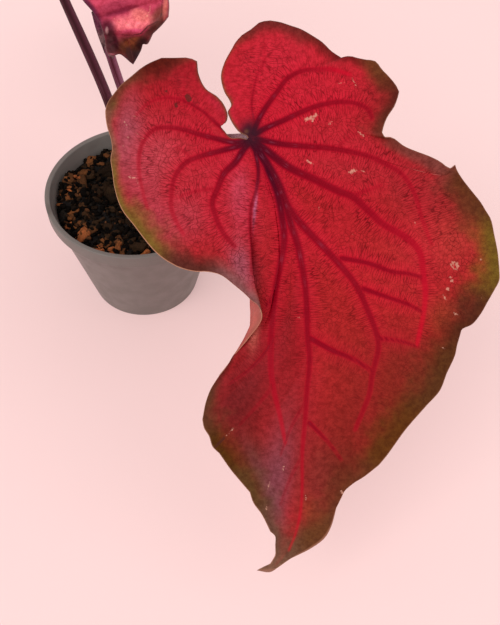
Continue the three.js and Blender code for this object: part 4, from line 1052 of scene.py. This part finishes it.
def stroke_distance(flat, strokes):
    """Distance past the edge of the nearest of these strokes."""
    nearest = np.full(len(flat), 1e3)
    for start, end, half in strokes:
        start, step = np.array(start), np.subtract(end, start)
        along = np.clip(((flat - start) @ step) / max(step @ step, 1e-9), 0, 1)
        nearest = np.minimum(nearest, np.linalg.norm(flat - start - along[:, None] * step, axis=1) - half)
    return nearest


def margin_looks(flat, band):
    """Width, colour and rim paleness of the margin's band at each place: a mean of the named places' values,
    each weighted by the inverse square of (its squared distance + 9)."""
    named, widths, colours, pale = (np.array(column, float) for column in zip(*band))
    colours = np.array([paint(*colour)[:3] for colour in colours])
    apart = ((flat[:, None] - named[None]) ** 2).sum(-1)
    weights = 1 / (apart + 9) ** 2
    weights /= weights.sum(axis=1, keepdims=True)
    return weights @ widths, weights @ colours, weights @ pale


def tissue_looks(flat, from_margin, blade):
    """Blade colour: the base, soft oval tints laid over it in turn, each by exp(-(d^2) ** power), and the
    margin's band, ragged by noise. Also gives the rim's paleness."""
    colour = np.tile(np.array(paint(*blade["base"])[:3]), (len(flat), 1))
    for centre, half, turn, strength, tint in blade["tints"]:
        offset = flat - np.array(centre)
        c, s = math.cos(math.radians(turn)), math.sin(math.radians(turn))
        x = (offset[:, 0] * c + offset[:, 1] * s) / half[0]
        y = (-offset[:, 0] * s + offset[:, 1] * c) / half[1]
        share = (strength * np.exp(-((x**2 + y**2) ** blade["tint_power"])))[:, None]
        colour = colour + share * (np.array(paint(*tint)[:3]) - colour)
    width, band, pale = margin_looks(flat, blade["band"])
    ragged = 1 + rough_layers(flat, BAND_LAYERS)
    depth = np.clip((from_margin / width * ragged - BAND_START) / BAND_FADE, 0, 1)
    share = BAND_STRENGTH * (1 - depth * depth * (3 - 2 * depth))[:, None]
    return colour + share * (band - colour), pale


def blade_piece(name, blade, finish):
    """A blade as one closed shell: both faces lie half a thickness off the middle surface and meet at the
    rounded margin. A triangle with all its corners on the rim is the same above and below, and is made once.
    Veins are grooves above and ridges below, by exp(-(away / width)^2)."""
    places, flat, from_margin, triangles = middle_surface(blade)
    corners = places[triangles]
    face_normals = np.cross(corners[:, 1] - corners[:, 0], corners[:, 2] - corners[:, 0])
    vertices = triangles.reshape(-1)
    normals = [np.bincount(vertices, np.repeat(face_normals[:, axis], 3), len(places)) for axis in range(3)]
    normals = np.stack(normals, axis=1)
    normals /= np.maximum(np.linalg.norm(normals, axis=1, keepdims=True), 1e-12)
    edges = np.sort(np.stack([triangles, np.roll(triangles, -1, axis=1)], axis=-1).reshape(-1, 2), axis=1)
    edge_keys, uses = np.unique(edges, axis=0, return_counts=True)
    rim = np.zeros(len(places), bool)
    rim[edge_keys[uses == 1].reshape(-1)] = True

    field = vein_field(flat, blade["veins"])
    groove, ridge = blade["relief"]
    crown = np.exp(-((field["away"] / (field["half"] * CROWN_REACH)) ** 2)) * field["strength"]
    inside = np.sqrt(1 - (1 - np.clip(from_margin / MARGIN_ROUNDING, 0, 1)) ** 2)
    away_from_rim = np.clip(from_margin / 2, 0, 1)
    crinkle = rough_layers(flat, CRINKLE_LAYERS)
    middle = places + normals * (away_from_rim * (crinkle - groove * crown))[:, None]
    above = middle + normals * (BLADE_HALF * inside)[:, None]
    below = middle - normals * ((BLADE_HALF + ridge * crown) * inside)[:, None]
    under = np.where(rim, np.arange(len(places)), len(places) + np.cumsum(~rim) - 1)
    own = np.concatenate([np.arange(len(places)), np.flatnonzero(~rim)])
    world = np.concatenate([above, below[~rim]]) @ blade_turn(blade).T + np.array(blade["joint"])
    two_faced = triangles[~rim[triangles].all(axis=1)]
    piece = make_piece(name + "_leaf_blade", world, [triangles, under[two_faced[:, ::-1]]], finish)
    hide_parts(name + "_blade")

    colour, pale = tissue_looks(flat, from_margin, blade)
    centre, half = blade["dark_joint"]
    from_joint = (((flat - np.array(centre)) / np.array(half)) ** 2).sum(axis=1)
    looks = {
        **{key: field[key] for key in ("edge", "strength", "tone", "between")},
        "margin": from_margin,
        "pale": pale,
        "crest": field["away"] / field["half"],
        "joint": JOINT_STRENGTH * np.exp(-(from_joint**1.4)),
        "scar": stroke_distance(flat, blade["scars"]),
        "speck": stroke_distance(flat, blade["specks"]),
        "flat": flat,
        "run": np.stack([field["away"], field["along"]], axis=1),
        "tissue": colour,
    }
    give(piece, **{key: values[own] for key, values in looks.items()})
    give(piece, upper=np.concatenate([np.ones(len(places)), np.zeros(len(own) - len(places))]))


def blade_finish(name, looks):
    """Leaf skin: tissue colour with a mottle, a fine dark net that runs across from the nearest vein, bright
    halos by the veins, the veins with a painted pale highlight along their crests, scars, the margin's thin
    rim and a paler underside."""
    finish, tree, shader = new_finish(
        name, paint(*looks["veins"][1]), 0.5, Specular_IOR_Level=0.12, Specular_Tint=SPECULAR_TINT
    )

    def vector(operation, *values):
        return wire(tree, "VectorMath", dict(enumerate(values)), operation=operation).outputs[0]

    flat, run, tissue = (read_attribute(tree, key, "Vector") for key in ("flat", "run", "tissue"))
    keys = ("edge", "strength", "between", "margin", "tone", "crest")
    edge, strength, between, margin, tone, crest = (read_attribute(tree, key) for key in keys)
    down_blade = wire(tree, "SeparateXYZ", {0: flat}).outputs[1]
    wobble = wire(tree, "TexNoise", {"Vector": flat, "Scale": 0.5, "Detail": 3.0}).outputs["Color"]
    shift = vector("SUBTRACT", wobble, (0.5, 0.5, 0.5))

    def net(places, scale, bend, low, high):
        """Lines between the cells of a bent Voronoi pattern."""
        bent = vector("MULTIPLY_ADD", shift, (bend, bend, bend), vector("MULTIPLY", places, scale))
        settings = {"voronoi_dimensions": "2D", "feature": "DISTANCE_TO_EDGE"}
        cells = wire(tree, "TexVoronoi", {"Vector": bent, "Scale": 1.0}, **settings)
        return step_between(tree, cells.outputs["Distance"], low, high, 1.0, 0.0)

    def frayed(distance, rough, spread):
        """A distance made ragged by noise, by up to half of the spread."""
        return sums(tree, "MULTIPLY_ADD", sums(tree, "SUBTRACT", rough, 0.5), spread, distance)

    def marks(colour, key, rough, spread, low, high, at_low):
        """Small strokes with ragged edges."""
        distance = frayed(read_attribute(tree, key), rough, spread)
        return mix_paint(tree, step_between(tree, distance, low, high, at_low, 0.0), colour, looks[key])

    across = net(run, (0.24, 1.4, 1.0), 0.65, 0.01, 0.17)
    polygons = net(flat, (0.8, 0.8, 1.0), 0.6, 0.0, 0.12)
    fine = net(flat, (1.6, 1.6, 1.0), 1.0, 0.0, 0.16)
    midway = step_between(tree, between, 0.34, 0.5)
    lines = wire(tree, "Mix", {0: midway, 2: across, 3: polygons}, data_type="FLOAT").outputs[0]
    lines = sums(tree, "MAXIMUM", lines, product(tree, fine, 0.35))
    patchy = step_between(tree, noise(tree, flat, 0.16, 4.0), 0.3, 0.7, 0.45, 1.0)
    above_tip = step_between(tree, down_blade, -84.0, -40.0, 0.3, 1.0)
    lines = product(tree, lines, patchy, above_tip, step_between(tree, margin, 1.0, 12.0, 0.3, 1.0))

    mottle = step_between(tree, noise(tree, flat, 0.55, 7.0, 0.74), 0.34, 0.66)
    warm = mix_paint(tree, 1.0, tissue, looks["mottle"], "MULTIPLY")
    colour = mix_paint(tree, mottle, vector("MULTIPLY", tissue, (1.15, 1.14, 1.14)), warm)
    softened = frayed(edge, noise(tree, flat, 0.6, 3.0), 1.6)
    halo = step_between(tree, softened, 0.0, looks["halo_width"], looks["halo_strength"], 0.0)
    above_tip = step_between(tree, down_blade, -84.0, -46.0, 0.12, 1.0)
    inland = product(tree, step_between(tree, margin, 2.0, 14.0), above_tip)
    colour = mix_paint(tree, product(tree, halo, strength, inland), colour, looks["halo"])
    dark = mix_paint(tree, 1.0, colour, looks["net"], "MULTIPLY")
    colour = mix_paint(tree, product(tree, lines, looks["net_strength"]), colour, dark)

    black, crimson, bright = looks["veins"]
    vein = mix_paint(tree, step_between(tree, tone, 0.0, 0.4), black, crimson)
    vein = mix_paint(tree, step_between(tree, tone, 0.4, 1.0), vein, bright)
    vein = mix_paint(tree, step_between(tree, crest, 0.35, 1.15, 0.0, 0.6), vein, looks["flank"])
    # Painted highlight: pale streaks along the crests of the darker veins.
    streaks = noise(tree, vector("MULTIPLY", run, (1.0, 0.2, 1.0)), 1.0, 2.0)
    gleam = product(
        tree,
        step_between(tree, crest, 0.1, 0.7, 1.0, 0.0),
        step_between(tree, streaks, 0.52, 0.74),
        step_between(tree, tone, 0.15, 0.5, looks["gleam_strength"], 0.0),
    )
    vein = mix_paint(tree, gleam, vein, looks["gleam"])
    core = step_between(tree, edge, -0.45, 0.5, 1.0, 0.0)
    colour = mix_paint(tree, product(tree, core, sums(tree, "POWER", strength, 0.5)), colour, vein)
    colour = mix_paint(tree, read_attribute(tree, "joint"), colour, looks["joint"])
    colour = marks(colour, "scar", noise(tree, flat, 1.6, 4.0, 0.7), 2.0, -0.2, 0.14, 0.62)
    colour = marks(colour, "speck", noise(tree, flat, 3.0, 3.0), 0.7, -0.1, 0.15, 0.75)
    edging = mix_paint(tree, read_attribute(tree, "pale"), *looks["rim"])
    colour = mix_paint(tree, step_between(tree, margin, 0.08, 0.4, 0.8, 0.0), colour, edging)
    below = mix_paint(tree, 0.62, colour, looks["underside"])
    colour = mix_paint(tree, read_attribute(tree, "upper"), below, colour)
    relief = sums(tree, "MULTIPLY_ADD", lines, -0.35, 0.5)
    relief = sums(tree, "MULTIPLY_ADD", noise(tree, flat, 1.1, 4.0), 0.4, relief)
    gloss = step_between(tree, noise(tree, flat, 0.35, 3.0), 0.3, 0.7, 0.38, 0.52)
    dress(tree, shader, colour, relief, 0.00014, gloss)
    return finish


red_leaf = blade_finish(
    "red leaf",
    {
        "veins": [(66, 0, 22), (128, 0, 22), (196, 8, 38)],
        "joint": (48, 20, 33),
        "flank": (176, 0, 32),
        "gleam": (172, 104, 138),
        "gleam_strength": 0.24,
        "halo": (200, 22, 46),
        "halo_width": 4.5,
        "halo_strength": 0.5,
        "net": (126, 70, 76),
        "net_strength": 0.85,
        "mottle": (220, 202, 198),
        "scar": (214, 160, 138),
        "speck": (70, 34, 26),
        "rim": [(74, 44, 34), (204, 146, 116)],
        "underside": (182, 96, 88),
    },
)
place_stalk("front", FRONT_BLADE, highlight_headed)
blade_piece("front", FRONT_BLADE, red_leaf)

# Left leaf: full-grown, on the far side of the plant and smaller than the front one, on a tall maroon stalk
# that leans out over the rim. Its blade is an even heart, waved all round.
LEFT_NARROWING = 0.93
BRANCH_STARTS = [(0.42, 1), (0.58, -1)]
BRANCH_RUNS = (0, 0.08, 0.16, 0.22)
LEFT_SECTORS = [
    (0, [(0.8, 0.5), (2, 4), (3.5, 9), (4, 14)], [(6, 19)]),
    (0, [(3, 3), (7, 9), (11, 16), (13, 22)], [(19, 22.5), (25, 21), (29, 17)]),
    (0, [(5, 0.5), (14, 3), (23, 7), (31, 11)], [(33, 6), (34, 0)]),
    (0, [(6, -2.5), (17, -4.5), (27, -6.5), (35, -8)], [(38, -13), (41, -20)]),
    (0, [(6, -6), (16, -14), (28, -21), (41, -27)], [(41, -34), (39, -41), (36, -47)]),
    (0.25, [(10, -28), (20, -38), (28, -46), (33, -53)], [(28, -60), (23, -67)]),
    (0.5, [(7, -54), (12, -64), (17, -74)], [(12, -80), (6, -87)]),
]


def mirrored(sectors, width):
    """The other side's sectors, this much narrower."""
    return [(root, *([(-x * width, y) for x, y in line] for line in lines)) for root, *lines in sectors]


def rib_veins(blade, widths, reach, tone, strength=1.0):
    """Veins along a blade's midrib and ribs, each up to this share of its rib, with two branches towards the
    margin from each."""
    midrib = spline(blade["midrib"])
    share = np.linspace(0, 1, 9)
    tones = (0.1, tone)
    veins = [(midrib(share * 0.985).tolist(), widths, (strength, 0.7 * strength), tones)]
    for root, rib, _ in blade["left"][1:] + blade["right"][1:]:
        path, length = evenly(spline([midrib(np.array(root)), *rib]))
        line = path(share * reach)[:, :2]
        fading = (0.95 * strength, 0.35 * strength)
        veins.append((line.tolist(), (widths[0] * 0.85, widths[1]), fading, tones))
        for start, bend in BRANCH_STARTS:
            foot = path(np.array([start, start + 0.05]))[:, :2]
            step = foot[1] - foot[0]
            step = step / np.linalg.norm(step)
            aside = np.array([-step[1], step[0]]) * bend
            run = np.array(BRANCH_RUNS)[:, None] * length
            branch = foot[0] + step * run + aside * run * 0.75 - aside * run**2 / length * 1.2
            fading = (0.7 * strength, 0.3 * strength)
            veins.append((branch.tolist(), (widths[1] * 1.1, widths[1] * 0.6), fading, (tone, tone)))
    return veins


LEFT_BLADE = {
    "joint": (-42, 58, 141),
    "heading": -138,
    "lean": 24,
    "roll": 0,
    "ripple": (2.2, 3.5),
    "relief": (0.3, 0.7),
    "dark_joint": ((0, -1.5), (3.0, 3.2)),
    "column_step": 1.3,
    "rise": lambda x, y: (400 - (y + 20) ** 2) / 250 - x**2 / 190,
    "midrib": [
        (0, -1), (0.5, -12), (0, -24), (-0.5, -36), (-1, -48), (-1, -60), (-0.5, -72), (0.5, -84), (2, -95),
    ],
    "left": mirrored(LEFT_SECTORS, LEFT_NARROWING),
    "right": LEFT_SECTORS,
    "base": (166, 33, 38),
    "tint_power": 1.25,
    "tints": [
        ((0, -18), (26, 34), 0, 0.7, (198, 32, 50)),
        ((0, -2), (4.5, 4.5), 0, 0.95, (56, 22, 38)),
        ((30, -40), (10, 16), 15, 0.5, (120, 96, 40)),
        ((-28, -44), (9, 16), -15, 0.5, (112, 60, 44)),
        ((2, -86), (8, 12), 0, 0.6, (112, 78, 44)),
    ],
    "band": [
        ((0, 22), 3, (96, 38, 26), 0.3), ((32, 8), 6, (92, 50, 28), 0.5),
        ((40, -36), 8, (100, 70, 26), 0.5), ((10, -84), 8, (90, 52, 24), 0.4),
        ((-30, 8), 6, (96, 50, 30), 0.5), ((-38, -36), 8, (86, 60, 26), 0.5),
    ],
    "scars": [((12, -30), (13, -31), 0.4), ((-20, -12), (-19.4, -12.4), 0.3)],
    "specks": [((18, -8), (18.3, -8.4), 0.3), ((-9, -50), (-9.4, -50.2), 0.4)],
}
LEFT_BLADE["veins"] = rib_veins(LEFT_BLADE, (2.2, 0.8), 0.86, 0.7)
place_stalk("left", LEFT_BLADE, maroon)
blade_piece("left", LEFT_BLADE, red_leaf)

# Young leaf: small, pink and hooded, on a mauve stalk. Its end never opened: it has shrivelled to a brown
# papery pouch with a black point, and dried bits of its sheath cling to the stalk below.
POUCH = 3.4


def young_rise(x, y):
    """Hooded across, hanging along. A slanted valley parts the hood from the pouch's puffed lip. The lip's
    lower edge falls steeply to the dried end, and that end is curled."""
    hood = -((x - 5) ** 2) / 30
    valley = -1.0 * np.exp(-(((y + 31.6 - 0.28 * (x - 5)) / 1.1) ** 2))
    lip_end = -38.2 + 0.75 * np.maximum(0, x - 11.5) - 0.18 * np.sin(1.3 * x)
    edge = POUCH / (1 + np.exp(-(y - lip_end) / 0.32))
    crumple = 0.6 * np.sin(1.15 * x + 0.9 * y) * np.exp(-(((y + 43) / 3.2) ** 2))
    wrinkles = 0.22 * np.sin(2.3 * x + 0.9 * np.sin(1.7 * y)) * np.exp(-(((y + 35) / 2.2) ** 2))
    curl = 5 * (np.maximum(0, -y - 37) / 11) ** 2
    return hood - 4 * (y / 26) ** 2 + valley + edge - POUCH + crumple + wrinkles + curl


YOUNG_BLADE = {
    "joint": (-7, 33.7, 142.8),
    "heading": 0,
    "lean": 36.7,
    "roll": 2.1,
    "eye": (47.4, -129, 292),
    "ripple": (0.5, 5),
    "relief": (0.15, 0.3),
    "dark_joint": ((0, 0), (1.4, 1.4)),
    "column_step": 0.4,
    "rise": young_rise,
    "midrib": [(0, 0), (1.5, -8), (3, -17), (5, -26), (6.5, -34), (8, -41.5), (9.5, -48.5)],
    "left": [
        (0, [(-0.5, 3), (-0.5, 9.5)], [(-2.5, 14)]),
        (0, [(-3, 6), (-6.5, 13)], [(-10.5, 6.5), (-12, 2)]),
        (0, [(-6, -1.5), (-12.5, -3)], [(-12.8, -8), (-12.5, -13)]),
        (0, [(-4, -8), (-10.5, -21)], [(-7, -27.5), (-4, -31)]),
        (1 / 3, [(1, -25), (-2.2, -33.5)], [(-1, -36), (0.2, -40), (0.6, -43)]),
        (2 / 3, [(4, -41), (1.2, -45.5)], [(2.8, -46), (5, -45)]),
    ],
    "right": [
        (0, [(1.5, 4), (2.5, 11.5)], [(6.5, 15)]),
        (0, [(5, 6), (11, 12)], [(13.5, 5), (14.5, 0)]),
        (0, [(7, -2.5), (15, -5)], [(17, -9), (18, -13)]),
        (0, [(10, -12), (20, -21)], [(20.6, -25), (21.2, -29)]),
        (1 / 3, [(12, -26), (21, -33)], [(19.5, -35), (17.6, -37)]),
        (2 / 3, [(12, -37.5), (16, -38.5)], [(14, -42), (12.9, -41.6), (12, -44)]),
    ],
    "base": (196, 72, 98),
    "tint_power": 2.4,
    "tints": [
        # Painted shade: the dark purple stroke down the left edge, second here. On the next line, both
        # slanted dark bands above the lip are a painted shadow.
        ((3, -24), (14, 6), 0, 0.5, (206, 78, 104)), ((-4.6, -30), (1.5, 6.5), 41, 0.9, (84, 30, 56)),
        ((3.2, -30.2), (7, 2.2), 15, 0.6, (134, 42, 64)), ((5.4, -31.2), (7, 1.1), 17, 0.8, (128, 38, 64)),
        ((17.6, -33.2), (2.4, 4.6), -32, 0.85, (128, 78, 62)),
        # The lip's bright pink: partly its own colour, partly painted light on its lit bulge.
        ((9.2, -35.2), (6.6, 2.7), 4, 0.97, (255, 138, 146)),
        ((12, -32.6), (3.4, 2), -20, 0.6, (255, 150, 138)),
        ((9.4, -37.5), (4.6, 0.7), 3, 0.85, (222, 84, 126)), ((9, -43), (9, 4.4), 0, 1, (80, 42, 26)),
        ((16.4, -37), (5.4, 1.9), 38, 0.95, (78, 42, 34)), ((9.4, -41), (3.2, 1.4), 18, 0.8, (124, 66, 36)),
        ((12.4, -41.8), (2.2, 2.4), -30, 0.9, (36, 20, 20)),
        ((10.4, -46.4), (4, 2.8), 0, 0.9, (38, 26, 28)),
        ((19.8, -29.4), (0.7, 4.5), -4, 0.9, (218, 124, 112)),
        ((1.2, -36.8), (2.6, 3), 0, 0.95, (82, 28, 46)), ((2.4, -41.8), (2.4, 4.6), 4, 0.98, (66, 38, 40)),
        # Painted shade: a dark spot for the shadow in a hole of the papery remnant.
        ((3.9, -41.2), (0.8, 2.6), 10, 0.9, (56, 18, 26)),
        # Painted highlight: a pale dot on the papery remnant.
        ((1, -37.4), (0.5, 1.1), 0, 0.9, (182, 146, 146)),
        ((2.2, -45.4), (1.6, 0.5), 0, 0.6, (196, 120, 130)),
    ],
    "band": [
        ((-8, -24), 1.5, (92, 34, 62), 0.1), ((-3, -32), 1.4, (88, 32, 58), 0.1),
        ((0.5, -41), 0.8, (92, 62, 64), 0.3), ((9, -48), 1.2, (48, 36, 40), 0),
        ((17, -37), 0.9, (84, 58, 56), 0.3), ((21, -31), 0.8, (110, 84, 84), 0.6),
        ((18, -12), 1.2, (120, 60, 78), 0.4), ((-12, -8), 1.4, (100, 40, 66), 0.3),
        ((0, 12), 1.4, (110, 50, 72), 0.3),
    ],
    "scars": [
        ((14.8, -29.2), (14.9, -31.2), 0.05), ((14.9, -31.2), (13.6, -33), 0.07),
        ((13.6, -33), (12, -34.2), 0.04), ((8.8, -33.4), (10.6, -34.4), 0.06),
        ((3.4, -33.8), (5, -34.8), 0.05), ((6.4, -34.6), (8, -35.6), 0.03),
    ],
    "specks": [
        ((8, -44), (9, -47), 0.8), ((5.5, -38.7), (9.4, -38.9), 0.1), ((9.4, -38.9), (12, -38.2), 0.14),
        ((12, -38.2), (14.2, -36), 0.2), ((14.2, -36), (17.5, -34.4), 0.14),
        ((18.9, -27.5), (18.4, -33), 0.1), ((6.2, -41.2), (8.4, -39.8), 0.07),
        ((8.4, -39.8), (10.4, -41.4), 0.07), ((6.6, -43.4), (9.4, -42.2), 0.07),
    ],
}
YOUNG_BLADE["veins"] = rib_veins(YOUNG_BLADE, (0.9, 0.4), 0.55, 0.5, 0.02)
pink_leaf = blade_finish(
    "pink leaf",
    {
        "veins": [(90, 24, 50), (134, 40, 70), (186, 60, 90)],
        "joint": (96, 40, 66),
        "flank": (176, 44, 76),
        "gleam": (240, 170, 190),
        "gleam_strength": 0.3,
        "halo": (226, 96, 126),
        "halo_width": 2.0,
        "halo_strength": 0.3,
        "net": (176, 126, 136),
        "net_strength": 0.2,
        "mottle": (228, 196, 204),
        "scar": (246, 176, 150),
        "speck": (56, 32, 28),
        "rim": [(70, 46, 50), (200, 160, 156)],
        "underside": (206, 120, 138),
    },
)
young_route = place_stalk("young", YOUNG_BLADE, mauve)
blade_piece("young", YOUNG_BLADE, pink_leaf)

# Sheath of the young leaf: a dried papery sleeve that still clings to the stalk behind the pouch, torn off
# raggedly at its lower edge, grey-brown with a purple upper part.
SHEATH_SPAN = (0.565, 0.7)
SHEATH_REACH = (1.75, 2.5)
SHEATH_THICKNESS = 0.12
SHEATH_GRID = (60, 72)


def torn_sleeve(points):
    """A sleeve round a path: it widens upward in pleats, by 1 + 0.05 sin 7a, and its lower edge climbs and
    falls with the angle. Outer and inner skins are joined at both edges."""
    path, _ = evenly(spline(points))
    rows, sides = SHEATH_GRID
    angle = np.arange(sides) * 2 * np.pi / sides
    torn = 0.16 * (1 + np.sin(3 * angle + 0.6)) + 0.1 * np.sin(8 * angle) + 0.05 * np.sin(17 * angle + 2)
    along = torn + (1 - torn) * np.linspace(0, 1, rows + 1)[:, None]
    run = SHEATH_SPAN[0] + (SHEATH_SPAN[1] - SHEATH_SPAN[0]) * along
    ring = ring_round(path(run + 0.005) - path(run - 0.005), angle)
    pleats = 1 + 0.05 * np.sin(7 * angle + 3 * along) + 0.03 * np.sin(13 * angle - 5 * along)
    radius = (SHEATH_REACH[0] + (SHEATH_REACH[1] - SHEATH_REACH[0]) * along) * pleats
    outer, inner = (path(run) + ring * (radius - depth)[..., None] for depth in (0, SHEATH_THICKNESS))
    grid = np.concatenate([outer, inner[::-1]])
    height = np.concatenate([along, along[::-1]])
    return grid.reshape(-1, 3), ring_quads(len(grid), sides, True), height.reshape(-1)


sleeve_places, sleeve_quads, sleeve_height = torn_sleeve(young_route)
paper, tree, shader = new_finish("dried sheath", paint(98, 72, 72), 0.75, Specular_IOR_Level=0.2)
places = object_places(tree)
grain = step_between(tree, noise(tree, places, 420.0, 4.0, 0.6, 1.0), 0.35, 0.68)
dried = mix_paint(tree, grain, (62, 40, 42), (124, 96, 96))
purple = mix_paint(tree, grain, (70, 26, 46), (112, 52, 76))
colour = mix_paint(tree, step_between(tree, read_attribute(tree, "height"), 0.4, 0.8), dried, purple)
dress(tree, shader, colour, noise(tree, places, 900.0, 3.0), 0.0002)
sleeve = make_piece("young_leaf_sheath", sleeve_places, [sleeve_quads], paper)
give(sleeve, height=sleeve_height)

# Studio: a plain pale pink floor, a large soft light from the upper left, a weaker one from the right and an
# even sky, with the camera looking down at the plant from in front.
FLOOR_PINK = (253, 219, 217)
FLOOR_HALF = 3
GLOW = 0.36
LIT_PLACE = (0.0, -0.03, 0.08)
SKY = (1, 0.96, 0.955, 1)
SKY_STRENGTH = 0.72
CAMERA_PLACE = (0.04506, -0.24261, 0.30109)
CAMERA_TILT = 36.66
CAMERA_ROLL = 2.09
LENS = 51.84
lit_pink = tuple((1 - GLOW) * channel for channel in paint(*FLOOR_PINK)[:3])
glowing = {"Emission_Color": paint(*FLOOR_PINK), "Emission_Strength": GLOW}
floor_finish, tree, shader = new_finish("pink paper", (*lit_pink, 1), 0.9, Specular_IOR_Level=0.1, **glowing)
floor_corners = [(x * FLOOR_HALF, y * FLOOR_HALF, 0) for x, y in ((-1, -1), (1, -1), (1, 1), (-1, 1))]
floor_mesh = bpy.data.meshes.new("floor")
floor_mesh.from_pydata(floor_corners, [], [(0, 1, 2, 3)])
floor_mesh.materials.append(floor_finish)
floor = bpy.data.objects.new("floor", floor_mesh)
bpy.context.scene.collection.objects.link(floor)


def soft_light(name, place, size, power, colour):
    """A square area light that faces the plant."""
    lamp = bpy.data.lights.new(name, "AREA")
    lamp.size = size
    lamp.energy = power
    lamp.color = colour
    light = bpy.data.objects.new(name, lamp)
    back = np.subtract(place, LIT_PLACE)
    light.location = place
    light.rotation_euler = (math.acos(back[2] / np.linalg.norm(back)), 0, math.atan2(back[0], -back[1]))
    bpy.context.scene.collection.objects.link(light)
    return light


key_light = soft_light("key light", (-1.5, -2.2, 3.4), 2.6, 75, (1, 0.98, 0.96))
fill_light = soft_light("fill light", (2.4, -1.2, 2.6), 2.4, 22, (1, 0.97, 0.96))
sky = bpy.data.worlds.new("studio")
sky.use_nodes = True
sky.node_tree.nodes["Background"].inputs[0].default_value = SKY
sky.node_tree.nodes["Background"].inputs[1].default_value = SKY_STRENGTH
bpy.context.scene.world = sky
bpy.context.scene.view_settings.view_transform = "Standard"
lens = bpy.data.cameras.new("camera")
lens.lens = LENS
lens.sensor_width = 36
lens.sensor_fit = "AUTO"
lens.clip_start = 0.01
camera = bpy.data.objects.new("camera", lens)
camera.location = CAMERA_PLACE
camera.rotation_mode = "ZYX"
camera.rotation_euler = (math.radians(CAMERA_TILT), 0, math.radians(CAMERA_ROLL))
bpy.context.scene.collection.objects.link(camera)
bpy.context.scene.camera = camera
